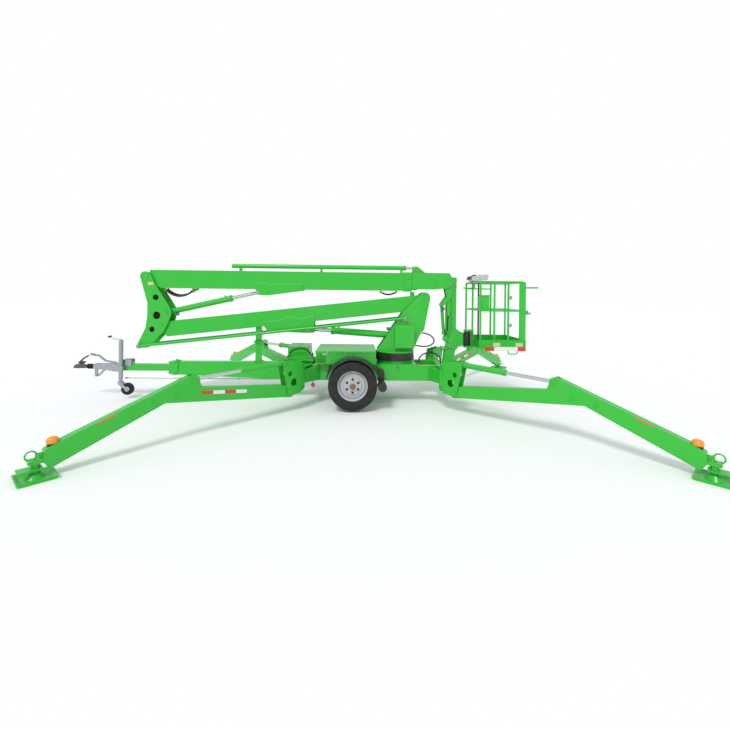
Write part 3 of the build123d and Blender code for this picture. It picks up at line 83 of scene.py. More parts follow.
def per_mm(size):
    """Texture scale that repeats about once in that many millimetres."""
    return 1000.0 / size


def add(tree, kind, inputs=(), **settings):
    """A new node with its settings, and with its inputs set or linked."""
    node = tree.nodes.new(kind)
    for key, value in settings.items():
        setattr(node, key, value)
    for key, value in dict(inputs).items():
        if isinstance(value, bpy.types.NodeSocket):
            tree.links.new(value, node.inputs[key])
        else:
            node.inputs[key].default_value = value
    return node


def blank(name):
    """A material whose tree holds only its output, and that tree."""
    material = bpy.data.materials.new(name)
    material.use_nodes = True
    material.node_tree.nodes.clear()
    return material, material.node_tree


def close(tree, shader):
    """Links a shader to the material's output."""
    output = add(tree, "ShaderNodeOutputMaterial")
    tree.links.new(shader.outputs["BSDF"], output.inputs["Surface"])


# %% [markdown]
# Most of the machine is sprayed steel: a gloss colour coat over primer. A real coat isn't quite even. It
# has fine orange peel about 3 mm across, and road dust that dulls it in broad patches and on upward faces.

# %% Paint


def paint(name, code, roughness=0.34, coat=0.15, dust=0.03, peel=0.012):
    """Sprayed enamel on steel, with orange peel and a thin film of dust."""
    material, tree = blank(name)
    where = add(tree, "ShaderNodeTexCoord").outputs["Object"]
    patch = add(tree, "ShaderNodeTexNoise", {"Vector": where, "Scale": per_mm(260), "Detail": 4.0})
    shade = add(tree, "ShaderNodeMapRange", {
        "Value": patch.outputs["Fac"], "From Min": 0.35, "From Max": 0.7, "To Min": 0.0, "To Max": dust})
    up = add(
        tree, "ShaderNodeSeparateXYZ", {"Vector": add(tree, "ShaderNodeNewGeometry").outputs["Normal"]}
    )
    lying = add(tree, "ShaderNodeMapRange", {
        "Value": up.outputs["Z"], "From Min": 0.5, "From Max": 1.0, "To Min": 0.0, "To Max": dust})
    film = add(
        tree, "ShaderNodeMath", {0: shade.outputs["Result"], 1: lying.outputs["Result"]}, operation="ADD"
    )
    colour = add(tree, "ShaderNodeMix", {
        "Factor": film.outputs["Value"], "A": srgb(code), "B": srgb("#b7b09c")}, data_type="RGBA")
    dull = add(tree, "ShaderNodeMapRange", {
        "Value": film.outputs["Value"], "To Min": roughness, "To Max": roughness + 0.5})
    skin = add(tree, "ShaderNodeTexNoise", {"Vector": where, "Scale": per_mm(3), "Detail": 2.0})
    bump = add(tree, "ShaderNodeBump", {
        "Height": skin.outputs["Fac"], "Strength": 0.25, "Distance": peel / 100})
    close(tree, add(tree, "ShaderNodeBsdfPrincipled", {
        "Base Color": colour.outputs["Result"], "Roughness": dull.outputs["Result"], "IOR": 1.5,
        "Coat Weight": coat, "Coat Roughness": 0.12, "Normal": bump.outputs["Normal"]}))
    return material


green = paint("green_enamel_on_steel", "#27b92d")
black_paint = paint("black_enamel_on_steel", "#17181a", roughness=0.42, dust=0.05)
rim_paint = paint("silver_enamel_on_pressed_steel", "#b3b6b8", roughness=0.34, dust=0.05)
cast_grey = paint("grey_paint_on_cast_iron", "#4a4d50", roughness=0.5, coat=0.05, peel=0.06)
plate_paint = paint("beige_enamel_on_sheet_aluminium", "#d2c3a0", roughness=0.45, coat=0.1, dust=0.04)
hub_paint = paint("brown_enamel_on_pressed_steel", "#7d5b3d", roughness=0.45, dust=0.05)
# weld beads get a lighter green than the enamel around them: a painted highlight along the cheek edges
bead = paint("weld_bead_green_with_painted_highlight", "#7fd884", roughness=0.3)
valve_paint = paint("blue_anodised_valve_block", "#27467e", roughness=0.35, coat=0.1, dust=0.03)
print("paints", green.name, black_paint.name, rim_paint.name)

# %% [markdown]
# Bare metals are metallic 1 and keep the default index of refraction. Hot-dip galvanising grows zinc
# crystals about 12 mm across, which differ in tone and gloss. Ground chrome shows faint lines round the rod.

# %% Metals


def metal(name, code, roughness, grain_mm, spread, cells=False):
    """Bare metal whose tone and roughness differ from grain to grain."""
    material, tree = blank(name)
    where = add(tree, "ShaderNodeTexCoord").outputs["Object"]
    if cells:
        grain = add(tree, "ShaderNodeTexVoronoi", {"Vector": where, "Scale": per_mm(grain_mm)})
        value = add(tree, "ShaderNodeSeparateXYZ", {"Vector": grain.outputs["Color"]}).outputs["X"]
    else:
        value = add(tree, "ShaderNodeTexNoise", {
            "Vector": where, "Scale": per_mm(grain_mm), "Detail": 6.0}).outputs["Fac"]
    dark = tuple(c * (1 - spread) for c in srgb(code)[:3]) + (1.0,)
    colour = add(tree, "ShaderNodeMix", {"Factor": value, "A": dark, "B": srgb(code)}, data_type="RGBA")
    rough = add(
        tree, "ShaderNodeMapRange", {"Value": value, "To Min": roughness + 0.08, "To Max": roughness - 0.04}
    )
    close(tree, add(tree, "ShaderNodeBsdfPrincipled", {
        "Base Color": colour.outputs["Result"], "Metallic": 1.0, "Roughness": rough.outputs["Result"]}))
    return material


galvanised = metal("hot_dip_galvanised_steel", "#b9bdc1", 0.42, 12, 0.22, cells=True)
chrome = metal("ground_hard_chrome", "#d6d8da", 0.14, 1.5, 0.06)
zinc_yellow = metal("yellow_passivated_zinc", "#c9b063", 0.36, 4, 0.2)
dark_steel = metal("oiled_black_steel", "#4c4d50", 0.45, 5, 0.25)
print("metals", galvanised.name, chrome.name, zinc_yellow.name, dark_steel.name)

# %% [markdown]
# Rubber and plastic are dielectric and dark. Tyre rubber is moulded and dry, hose covers are smoother, and
# moulded polythene has a leathery grain of about 1 mm. Lamp lenses pass some light into a coloured body.

# %% Rubber, plastic and lenses


def moulded(name, code, roughness, grain_mm, depth_mm, fade=0.12):
    """Moulded rubber or plastic with a fine grain, greyed a little by dust."""
    material, tree = blank(name)
    where = add(tree, "ShaderNodeTexCoord").outputs["Object"]
    wear = add(tree, "ShaderNodeTexNoise", {"Vector": where, "Scale": per_mm(90), "Detail": 5.0})
    factor = add(tree, "ShaderNodeMapRange", {
        "Value": wear.outputs["Fac"], "From Min": 0.3, "From Max": 0.75, "To Min": 0.0, "To Max": fade})
    colour = add(tree, "ShaderNodeMix", {
        "Factor": factor.outputs["Result"], "A": srgb(code), "B": srgb("#8c877c")}, data_type="RGBA")
    grain = add(tree, "ShaderNodeTexNoise", {"Vector": where, "Scale": per_mm(grain_mm), "Detail": 3.0})
    bump = add(tree, "ShaderNodeBump", {
        "Height": grain.outputs["Fac"], "Strength": 0.4, "Distance": depth_mm / 1000})
    close(tree, add(tree, "ShaderNodeBsdfPrincipled", {
        "Base Color": colour.outputs["Result"], "Roughness": roughness, "IOR": 1.5,
        "Normal": bump.outputs["Normal"]}))
    return material


def lens(name, code):
    """Coloured acrylic, ribbed inside every 3 mm."""
    material, tree = blank(name)
    where = add(tree, "ShaderNodeTexCoord").outputs["Object"]
    ribs = add(tree, "ShaderNodeTexWave", {"Vector": where, "Scale": per_mm(3) / 20})
    bump = add(tree, "ShaderNodeBump", {"Height": ribs.outputs["Fac"], "Strength": 0.3, "Distance": 0.0003})
    close(tree, add(tree, "ShaderNodeBsdfPrincipled", {
        "Base Color": srgb(code), "Roughness": 0.12, "IOR": 1.49, "Coat Weight": 0.5,
        "Normal": bump.outputs["Normal"]}))
    return material


tyre_rubber = moulded("moulded_tyre_rubber", "#131314", 0.8, 1.2, 0.15, fade=0.07)
hose_rubber = moulded("extruded_hose_rubber", "#121315", 0.5, 0.8, 0.05, fade=0.06)
black_plastic = moulded("moulded_black_polythene", "#1d1e20", 0.52, 1.0, 0.1)
grey_plastic = moulded("moulded_light_grey_abs", "#c2c4c4", 0.48, 1.0, 0.08, fade=0.06)
# This near-black is painted shade: it is put inside holes, pockets and slots where there would only be shade.
painted_shade_black = moulded("painted_shade_flat_black", "#050505", 0.9, 2.0, 0.1, fade=0.0)
amber_lens = lens("amber_acrylic", "#f09216")
red_lens = lens("red_acrylic", "#c8281c")
print("rubber and plastic", tyre_rubber.name, hose_rubber.name, black_plastic.name)

# %% [markdown]
# Marking tape is vinyl over glass beads in a honeycomb about 4 mm across. It is brighter than paint and
# slightly uneven, cell by cell. The basket's floor is rolled chequer plate, whose bars rise about 1.5 mm.

# %% Tape and chequer plate


def tape(name, code):
    """Retroreflective vinyl with its honeycomb."""
    material, tree = blank(name)
    where = add(tree, "ShaderNodeTexCoord").outputs["Object"]
    cell = add(
        tree, "ShaderNodeTexVoronoi", {"Vector": where, "Scale": per_mm(4)}, feature="DISTANCE_TO_EDGE"
    )
    wall = add(tree, "ShaderNodeMapRange", {
        "Value": cell.outputs["Distance"], "From Max": 0.12, "To Min": 0.86, "To Max": 1.0})
    body = add(tree, "ShaderNodeMix", {
        "Factor": 1.0, "A": srgb(code), "B": wall.outputs["Result"]}, data_type="RGBA", blend_type="MULTIPLY")
    close(tree, add(tree, "ShaderNodeBsdfPrincipled", {
        "Base Color": body.outputs["Result"], "Roughness": 0.35, "IOR": 1.5, "Coat Weight": 0.4}))
    return material


def chequer(name, code):
    """Enamelled chequer plate: short raised bars, each row turned the other way."""
    material, tree = blank(name)
    where = add(tree, "ShaderNodeTexCoord").outputs["Object"]
    heights = []
    for turn in (pi / 4, -pi / 4):
        turned = add(tree, "ShaderNodeMapping", {
            "Vector": where, "Rotation": (0, 0, turn), "Scale": (per_mm(30), per_mm(60), 1.0)})
        bars = add(tree, "ShaderNodeTexVoronoi", {
            "Vector": turned.outputs["Vector"], "Scale": 1.0, "Randomness": 0.0}, voronoi_dimensions="2D")
        heights.append(add(tree, "ShaderNodeMapRange", {
            "Value": bars.outputs["Distance"], "From Min": 0.12, "From Max": 0.3,
            "To Min": 1.0, "To Max": 0.0}).outputs["Result"])
    both = add(tree, "ShaderNodeMath", {0: heights[0], 1: heights[1]}, operation="MAXIMUM")
    bump = add(
        tree, "ShaderNodeBump", {"Height": both.outputs["Value"], "Strength": 0.8, "Distance": 0.0015}
    )
    close(tree, add(tree, "ShaderNodeBsdfPrincipled", {
        "Base Color": srgb(code), "Roughness": 0.42, "IOR": 1.5, "Normal": bump.outputs["Normal"]}))
    return material


red_tape = tape("red_reflective_tape", "#d23a24")
white_tape = tape("white_reflective_tape", "#ecebe6")
orange_tape = tape("orange_reflective_tape", "#e2612a")
floor_plate = chequer("green_enamel_on_chequer_plate", "#27b22d")
print("tapes", red_tape.name, white_tape.name, orange_tape.name, floor_plate.name)

# %% [markdown]
# Each CAD node now gets its finish. Green is the default, and a short table names the rest. A frame node
# keeps its mesh untouched: only its material slots are filled.

# %% Finish the frame
FINISH = {
    galvanised: ["overrun_housing", "jockey_column", "axle"],
    cast_grey: ["tow_coupling"],
    black_paint: ["wheel_drives", "slew_ring", "slew_gear", "rotator"],
    black_plastic: ["mudguards"],
    grey_plastic: ["console"],
    rim_paint: ["rim_left", "rim_right"],
    tyre_rubber: ["tyre_left", "tyre_right", "jockey_wheel"],
    hose_rubber: ["coupling_bellows", "hose_boom", "hose_jib", "hose_box"],
    chrome: ["lower_ram_rod", "upper_ram_rod", "telescope_rod", "jib_ram_rod"]
    + ["outrigger_rod_" + corner for corner in CORNERS],
    floor_plate: ["basket_floor"],
}
finish_of = {name: material for material, names in FINISH.items() for name in names}
for name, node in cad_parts.items():
    for place in node.material_slots:
        place.material = finish_of.get(name, green)
print("green nodes", sum(name not in finish_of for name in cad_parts))

# %% [markdown]
# Added pieces are real meshes. One function turns points and faces into an object that rides on a body,
# and a narrow bevel catches light along its edges, as on pressed or cast metal.

# %% Mesh helpers


def piece(name, verts, faces, material, body, bevel=0.0, smooth=False):
    """A mesh object in the given finish that moves with a body."""
    mesh = bpy.data.meshes.new(name)
    mesh.from_pydata([tuple(v) for v in verts], [], faces)
    bm = bmesh.new()
    bm.from_mesh(mesh)
    bmesh.ops.recalc_face_normals(bm, faces=bm.faces)
    for face in bm.faces:
        face.smooth = smooth
    bm.to_mesh(mesh)
    bm.free()
    mesh.materials.append(material)
    obj = bpy.data.objects.new(name, mesh)
    bpy.context.collection.objects.link(obj)
    if smooth:
        mesh.set_sharp_from_angle(angle=radians(40))
    if bevel:
        edge = obj.modifiers.new("edge", "BEVEL")
        edge.width = bevel
        edge.segments = 2
    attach(obj, body)
    return obj


def prism(loops):
    """Points and faces of a solid skinned over equal loops of points, capped at both ends."""
    count = len(loops[0])
    verts = [v for loop in loops for v in loop]
    faces = [tuple(range(count)), tuple(range(len(verts) - count, len(verts)))]
    for k in range(len(loops) - 1):
        for i in range(count):
            j = (i + 1) % count
            faces.append((k * count + i, k * count + j, (k + 1) * count + j, (k + 1) * count + i))
    return verts, faces


def merge(shapes):
    """One list of points and faces from several."""
    verts, faces = [], []
    for more_verts, more_faces in shapes:
        start = len(verts)
        verts += list(more_verts)
        faces += [tuple(i + start for i in face) for face in more_faces]
    return verts, faces


def slab(x, y, z):
    """Block between two values along each axis, in drawing millimetres."""
    ring = [(0, 0), (1, 0), (1, 1), (0, 1)]
    return prism([[at(x[i], y[j], level) for i, j in ring] for level in z])


def lathe(centre, axis, profile, count=32):
    """Solid turned about an axis through centre: profile is (distance along, radius) in millimetres."""
    axis = Vector(axis).normalized()
    across = axis.orthogonal().normalized()
    other = axis.cross(across)
    loops = []
    for along, radius in profile:
        ring = []
        for i in range(count):
            a = 2 * pi * i / count
            ring.append(centre + axis * (along / 1000) + (across * cos(a) + other * sin(a)) * (radius / 1000))
        loops.append(ring)
    return prism(loops)


def tube(name, points, radius, material, body):
    """A round bar or hose as a curve through its points."""
    data = bpy.data.curves.new(name, "CURVE")
    data.dimensions = "3D"
    data.bevel_depth = radius / 1000
    data.bevel_resolution = 5
    data.use_fill_caps = True
    spline = data.splines.new("NURBS")
    spline.points.add(len(points) - 1)
    for dot, point in zip(spline.points, points):
        dot.co = (*point, 1.0)
    spline.order_u = 3
    spline.use_endpoint_u = True
    spline.resolution_u = 10
    data.materials.append(material)
    obj = bpy.data.objects.new(name, data)
    bpy.context.collection.objects.link(obj)
    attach(obj, body)
    return obj


print("helpers ready")

# %% [markdown]
# The road tyres replace the CAD's plain ones. A cross-section runs from bead to bead, with four grooves in
# the tread, and is swept round 240 steps. Every third step the blocks are cut back, which makes the lugs.

# %% Tyres
AXLE_X, AXLE_Z, WHEEL_Y, TYRE_R, TYRE_HALF = -307.0, 405.0, 752.5, 383.5, 107.5
SIDEWALL = [(86, 236), (97, 244), (101, 262), (104, 281), (103, 284), (106.5, 300), (107.3, 322), (104, 346),
            (102, 350), (98.5, 362), (93, 371)]
TREAD = [
    (84, 377.5), (64, 381), (61, 373), (54, 373), (51, 382), (27, 383), (24, 375), (17, 375), (14, 383.4)
]
STEPS = 240


def tyre(side):
    """Points and faces of one tyre."""
    half = [(y, r, False) for y, r in SIDEWALL] + [(y, r, r > 376) for y, r in TREAD]
    section = half + [(-y, r, lug) for y, r, lug in reversed(half)]
    verts, faces = [], []
    for i in range(STEPS):
        a = 2 * pi * i / STEPS
        for y, r, lug in section:
            cut = 0.0
            if lug and abs(y) > 45 and (i + (y > 0)) % 4 == 0:
                cut = 5.0
            if lug and abs(y) <= 45 and (i + 2) % 6 == 0:
                cut = 3.0
            reach = r - cut
            verts.append(at(AXLE_X + reach * cos(a), side * WHEEL_Y + y, AXLE_Z + reach * sin(a)))
    n = len(section)
    for i in range(STEPS):
        j = (i + 1) % STEPS
        for k in range(n):
            m = (k + 1) % n
            faces.append((i * n + k, i * n + m, j * n + m, j * n + k))
    return verts, faces


for wheel, side in (("left", -1), ("right", 1)):
    verts, faces = tyre(side)
    rubber = piece("tyre_" + wheel + "_treaded", verts, faces, tyre_rubber, "wheel_" + wheel, smooth=True)
    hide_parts("tyre_" + wheel)
    print(rubber.name, len(faces), "faces")

# %% [markdown]
# Wheel nuts sit in pockets on a 205 mm circle, each pocket backed by a near-black disc of painted shade, and a
# brown cap closes the hub. They turn with the wheel, so they ride on its body. A six-sided turning makes a nut.

# %% Wheel nuts and hub caps
for wheel, side in (("left", -1), ("right", 1)):
    centre = at(AXLE_X, side * WHEEL_Y, AXLE_Z)
    out = Vector((0, side, 0))
    pocket_shades, nuts = [], []
    for i in range(6):
        a = radians(30 + 60 * i)
        spot = centre + Vector((cos(a), 0, sin(a))) * 0.1025
        # a near-black disc of painted shade in the pocket behind each nut
        pocket_shades.append(lathe(spot, out, [(51.0, 19), (52.6, 18.5)], 24))
        nuts.append(lathe(spot, out, [(52, 13), (67, 13), (71, 10)], 6))
    piece("stud_pocket_shade_" + wheel, *merge(pocket_shades), painted_shade_black, "wheel_" + wheel)
    piece("wheel_nuts_" + wheel, *merge(nuts), dark_steel, "wheel_" + wheel, bevel=0.0012)
    cap = lathe(centre, out, [(87, 47), (93, 46.5), (98, 42), (101.5, 30), (102.5, 12), (102.6, 1)], 48)
    piece("hub_cap_" + wheel, *cap, hub_paint, "wheel_" + wheel, smooth=True)
    print("wheel", wheel, "dressed")

# %% [markdown]
# Marking tape lies on both faces of each outrigger, 0.6 mm proud of the paint. A band is cut into lengths
# of red and white along the beam's slope, and a short orange piece marks the end of the leg.

# %% Outrigger tape


def band(corner, face, r0, r1, z0, z1, height):
    """A strip of tape on a leg's side face, from r0 to r1, its top edge going from z0 to z1."""
    end, side = CORNERS[corner]
    edge = [(r0, z0), (r1, z1), (r1, z1 - height), (r0, z0 - height)]
    return prism([[on_leg(end, side, r, across, z) for r, z in edge] for across in (face * 54.8, face * 55.7)])


TAPE_R, TAPE_Z = (1660.0, 1010.0), (580.0, 488.0)
for corner in ("front_left", "rear_right"):
    reds, whites = [], []
    for k in range(4):
        r = [TAPE_R[0] + (TAPE_R[1] - TAPE_R[0]) * share / 4 for share in (k, k + 1)]
        z = [TAPE_Z[0] + (TAPE_Z[1] - TAPE_Z[0]) * share / 4 for share in (k, k + 1)]
        for face in (-1, 1):
            (whites if k % 2 else reds).append(band(corner, face, *r, *z, 46.0))
    piece("leg_tape_red_" + corner, *merge(reds), red_tape, "leg_" + corner)
    piece("leg_tape_white_" + corner, *merge(whites), white_tape, "leg_" + corner)
for corner in CORNERS:
    marks = [band(corner, face, 2600.0, 2780.0, 495.0, 431.0, 17.0) for face in (-1, 1)]
    piece("leg_tape_orange_" + corner, *merge(marks), orange_tape, "leg_" + corner)
    print("tape on", corner)

# %% [markdown]
# An amber lamp stands near the foot of each leg, a rounded lens on a black rubber base, where it warns people
# off the pad. The pins that carry the leg and its ram get washers and nuts.

# %% Leg lamps and pin ends
for corner, (end, side) in CORNERS.items():
    up = Vector((0, 0, 1))
    foot = on_leg(end, side, 3140, 0, 308)
    base = lathe(foot, up, [(-34, 46), (4, 46), (8, 42)], 40)
    piece("lamp_base_" + corner, *base, black_plastic, "leg_" + corner, smooth=True)
    glass = lathe(foot, up, [(7, 52), (12, 55), (34, 54), (52, 47), (63, 34), (68, 18), (69, 2)], 40)
    piece("lamp_lens_" + corner, *glass, amber_lens, "leg_" + corner, smooth=True)
    outward = (on_leg(end, side, 0, 1, 0) - on_leg(end, side, 0, 0, 0)).normalized()
    nuts = []
    for r, z, reach in ((1725, 730, 61), (1953, 579, 57), (2215, 550, 57)):
        for face in (-1, 1):
            spot = on_leg(end, side, r, face * reach, z)
            nuts.append(lathe(spot, outward * face, [(0, 22), (3, 22), (3.1, 15), (14, 15), (16, 12)], 6))
    piece("leg_nuts_" + corner, *merge(nuts), green, "leg_" + corner, bevel=0.001)
    caps = []
    for r, z in ((263, 320), (366, 763)):
        for face in (-1, 1):
            spot = on_leg(end, side, r, face * 74, z)
            caps.append(lathe(spot, outward * face, [(-1, 19), (3, 19), (3.1, 12), (12, 12), (14, 9)], 6))
    piece("bracket_nuts_" + corner, *merge(caps), zinc_yellow, "outrigger_" + corner, bevel=0.001)
print("lamps and pins on", len(CORNERS), "legs")

# %% [markdown]
# Booms turn on thick pins. Outside each side plate a pin shows a round head, and a small keeper plate with
# two bolts stops it from turning. A table gives each pin's place, half width and body.

# %% Boom pins
PINS = {
    "boom_pin": (915, 1779, 125, 34, "turret"),
    "turret_tie_pin": (576, 1424, 186, 22, "turret"),
    "ram_foot_pin": (476, 1111, 125, 27, "turret"),
    "knuckle_pin": (-3595, 1260, 125, 32, "knuckle"),
    "knuckle_tie_pin": (-3934, 905, 186, 22, "knuckle"),
    "upper_pin": (-3865, 2090, 125, 34, "knuckle"),
    "upper_ram_foot": (-3513, 1480, 125, 27, "knuckle"),
    "jib_pin": (1350, 1800, 71, 22, "jib_head"),
    "level_pin": (1343, 2047, 95, 22, "inner_boom"),
    "jib_foot_pin": (1350, 950, 75, 22, "basket_mount"),
    "lower_ram_eye": (-1100, 1217, 96, 26, "lower_boom"),
    "upper_ram_eye": (-1958, 1842, 96, 26, "upper_boom"),
}
for name, (x, z, half, r, body) in PINS.items():
    heads, bolts = [], []
    for side in (-1, 1):
        centre, out = at(x, side * half, z), Vector((0, side, 0))
        heads.append(lathe(centre, out, [(-6, r), (4, r), (7, r - 3), (7.2, r * 0.4), (5, r * 0.34)], 40))
        keeper = centre + Vector((0, 0, -0.0013 * r))
        for dx in (-0.016, 0.016):
            bolts.append(lathe(keeper + Vector((dx, 0, 0)), out, [(-4, 6.5), (5, 6.5), (6, 5)], 6))
        heads.append(prism([[keeper + Vector((dx, side * dy, dz)) for dx, dz in
                             ((-0.03, -0.009), (0.03, -0.009), (0.03, 0.009), (-0.03, 0.009))]
                            for dy in (-0.004, 0.002)]))
    piece(name + "_heads", *merge(heads), galvanised, body, bevel=0.0008)
    piece(name + "_bolts", *merge(bolts), zinc_yellow, body)
print("pins", len(PINS))

# %% [markdown]
# Three lightening holes in the knuckle are closed by near-black discs of painted shade, which stand for the
# shade inside the hollow knuckle. Small blank plates stand where a maker would rivet its own. They have no
# lettering.

# %% Knuckle hole shade and blank plates
hole_shades = [lathe(at(x, side * 106.0, z), (0, side, 0), [(0, r - 1.5), (1.5, r - 1.5)], 48)
          for x, z, r in ((-3684, 1735, 50), (-3667, 1427, 66), (-3745, 1190, 50)) for side in (-1, 1)]
piece("knuckle_hole_shade", *merge(hole_shades), painted_shade_black, "knuckle")


def label(name, x, z, wide, high, y, body, material):
    """A thin plate with its two rivets."""
    side = 1 if y > 0 else -1
    face = slab((x - wide / 2, x + wide / 2), sorted((y, y + side * 1.5)), (z - high / 2, z + high / 2))
    piece(name, *face, material, body, bevel=0.0006)
    rivets = [lathe(at(x + dx, y + side * 1.5, z), (0, side, 0), [(-0.5, 3.5), (0.8, 3), (1.4, 1)], 12)
              for dx in (6 - wide / 2, wide / 2 - 6)]
    piece(name + "_rivets", *merge(rivets), galvanised, body)


label("plate_knuckle", -3770, 1968, 92, 50, -124.0, "knuckle", plate_paint)
label("plate_toe_left", 2056, 1021, 120, 62, -450.0, "basket", plate_paint)
label("plate_toe_right", 2430, 1022, 120, 62, -450.0, "basket", plate_paint)
print("plates set")

# %% [markdown]
# The ends are pressed steel ferrules.

# %% Hoses
HOSES = {
    "hose_boom": ("upper_boom", 14, [(-3530, 0, 1838), (-3450, 0, 1793), (-3330, 0, 1766), (-3212, 0, 1784),
                                     (-3110, 0, 1838)]),
    "hose_jib": ("jib", 10, [(1335, -80, 1500), (1325, -102, 1445), (1318, -108, 1375), (1312, -108, 1300),
                             (1316, -101, 1235), (1328, -80, 1185)]),
    "hose_box": ("chassis", 12, [(-1390, -268, 800), (-1345, -300, 862), (-1265, -312, 905),
                                 (-1170, -314, 915), (-1085, -312, 893), (-1025, -304, 835),
                                 (-1000, -290, 765)]),
    "hose_boom_near": ("upper_boom", 14, [(-3560, -42, 1876), (-3520, -42, 1832), (-3430, -42, 1776),
                                          (-3325, -42, 1752), (-3210, -42, 1772), (-3120, -42, 1826),
                                          (-3085, -42, 1876)]),
    "hose_boom_far": ("upper_boom", 14, [(-3550, 42, 1876), (-3505, 42, 1834), (-3420, 42, 1792),
                                         (-3325, 42, 1774), (-3220, 42, 1790), (-3140, 42, 1832),
                                         (-3100, 42, 1876)]),
    "hose_boom_rear": ("upper_boom", 14, [(150, -30, 1875), (205, -30, 1840), (290, -30, 1826), (375, -30, 1842),
                                          (430, -30, 1876)]),
    "hose_turret": ("turret", 11, [(848, -140, 1180), (930, -172, 1172), (1030, -200, 1130), (1078, -212, 1050),
                                   (1030, -205, 975), (930, -180, 945), (820, -155, 948), (742, -140, 965)]),
    "hose_rear": ("chassis", 11, [(780, -290, 660), (792, -290, 750), (850, -292, 828), (950, -296, 862),
                                  (1060, -298, 852), (1140, -296, 796), (1168, -292, 730), (1172, -290, 660)]),
}


def curve_length(points, steps=400):
    """Length of the order 3 NURBS with open ends through those control points."""
    n, degree = len(points), 2
    knots = [0.0] * 3 + [float(i) for i in range(1, n - degree)] + [float(n - degree)] * 3
    top, total, last = float(n - degree), 0.0, None
    for s in range(steps + 1):
        t = min(top * s / steps, top - 1e-9)
        k = max(i for i in range(degree, n) if knots[i] <= t)
        d = [points[j + k - degree].copy() for j in range(degree + 1)]
        for level in range(1, degree + 1):
            for j in range(degree, level - 1, -1):
                low = knots[j + k - degree]
                share = (t - low) / (knots[j + 1 + k - level] - low)
                d[j] = d[j - 1].lerp(d[j], share)
        if last is not None:
            total += (d[degree] - last).length
        last = d[degree]
    return total


for name, (body, radius, route) in HOSES.items():
    points = [at(*dot) for dot in route]
    hose = tube(name + "_rubber", points, radius, hose_rubber, body)
    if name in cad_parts:
        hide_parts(name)
    length = curve_length(points)
    ferrules = []
    for tip, beside in ((points[0], points[1]), (points[-1], points[-2])):
        ferrules.append(lathe(tip, beside - tip, [(-14, radius + 3), (0, radius + 3), (26, radius + 2.4),
                                                  (28, radius + 0.6)], 24))
    piece(name + "_ferrules", *merge(ferrules), zinc_yellow, body, smooth=True)
    print(name, "is", round(length, 3), "m long")

# %% [markdown]
# Reflectors run along the lower edge of the basket's toe board: red, white, red. A brown-red side lamp
# hangs from the chassis beside the wheel.

# %% Reflectors and side lamp
for name, x0, x1, material in (("left", 1859, 2012, red_tape), ("middle", 2014, 2402, white_tape),
                               ("right", 2404, 2536, red_tape)):
    strip = slab((x0, x1), (-458.5, -450.5), (918, 986))
    piece("toe_reflector_" + name, *strip, material, "basket", bevel=0.001)
lamp = lathe(at(-958, -436, 334), (0, -1, 0), [(0, 34), (12, 34), (20, 28), (23, 14), (23.5, 1)], 40)
bracket = slab((-978, -938), (-440, -436), (300, 400))
piece("side_lamp", *lamp, red_lens, "chassis", smooth=True)
piece("side_lamp_bracket", *bracket, galvanised, "chassis", bevel=0.001)
print("reflectors and side lamp set")

# %% [markdown]
# The battery box breathes through a pressed panel of louvres. Each louvre is a hooded slot: a short wedge that
# stands 7 mm off the wall over a near-black strip of painted shade where the opening is. Latches and hinges hold
# the lid.

# %% Battery box fittings
louvres, slots = [], []
for row in range(6):
    z = 704 + row * 15.5
    # a near-black strip of painted shade fills each louvre's opening
    slots.append(slab((-908, -778), (-451.2, -450.2), (z - 3, z + 4)))
    hood = [[at(x, y, h) for y, h in ((-450.4, z + 9), (-450.4, z + 4), (-457, z + 1.5), (-458, z + 3))]
            for x in (-910, -776)]
    louvres.append(prism(hood))
piece("louvre_opening_shade", *merge(slots), painted_shade_black, "chassis")
piece("louvre_hoods", *merge(louvres), green, "chassis")
latches = []
for x in (-720, -430, -140):
    latches.append(slab((x - 17, x + 17), (-470, -465), (872, 888)))
    latches.append(slab((x - 12, x + 12), (-458, -450.4), (822, 860)))
    latches.append(slab((x - 8, x + 8), (-469, -458), (830, 884)))
piece("lid_latches", *merge(latches), galvanised, "chassis", bevel=0.0015)
print("louvres", len(louvres))

# %% [markdown]
# At the towing end the hand lever and the coupling handle have black rubber grips, a spring-steel rod
# runs back to the brakes under the drawbar, and the jockey crank ends in a plastic T-grip.

# %% Towing end
grip = [at(-4750, 0, 721.5), at(-4832, 0, 738)]
axis = (grip[1] - grip[0]).normalized()
sleeve = lathe(grip[0], axis, [(0, 17), (3, 19)] + [(12 + 12 * k + e, 19 - (e == 4) * 1.6) for k in range(5)
                                                   for e in (0, 4, 8)] + [(88, 18), (95, 12)], 28)
piece("lever_grip", *sleeve, hose_rubber, "chassis", smooth=True)
handle = lathe(at(-5040, 0, 596), (1, 0, 0.05), [(-8, 12), (0, 17), (60, 17), (104, 16), (112, 11)], 24)
piece("coupling_grip", *handle, hose_rubber, "chassis", smooth=True)
knob = lathe(at(-4460, -98, 1056), (0, 1, 0), [(-34, 12), (-30, 17), (30, 17), (34, 12)], 28)
piece("crank_grip", *knob, black_plastic, "chassis", smooth=True)
hub = lathe(at(-4149, -98, 168), (0, 1, 0), [(-33, 22), (-31, 40), (31, 40), (33, 22)], 32)
piece("jockey_hub", *hub, rim_paint, "jockey", smooth=True)
rod = lathe(at(-4250, 0, 331), (1, 0, 0), [(0, 7), (3150, 7)], 16)
piece("brake_rod", *rod, galvanised, "chassis", smooth=True)
guides = [slab((x - 12, x + 12), (-16, 16), (320, 344)) for x in (-4230, -3300, -2300, -1400)]
piece("brake_rod_guides", *merge(guides), green, "chassis", bevel=0.002)
print("towing end dressed")

# %% [markdown]
# On the basket: a control lever and a dark lip on the console, a document box, a conduit up the post,
# hinges on the gate, and a latch. They turn with the basket.

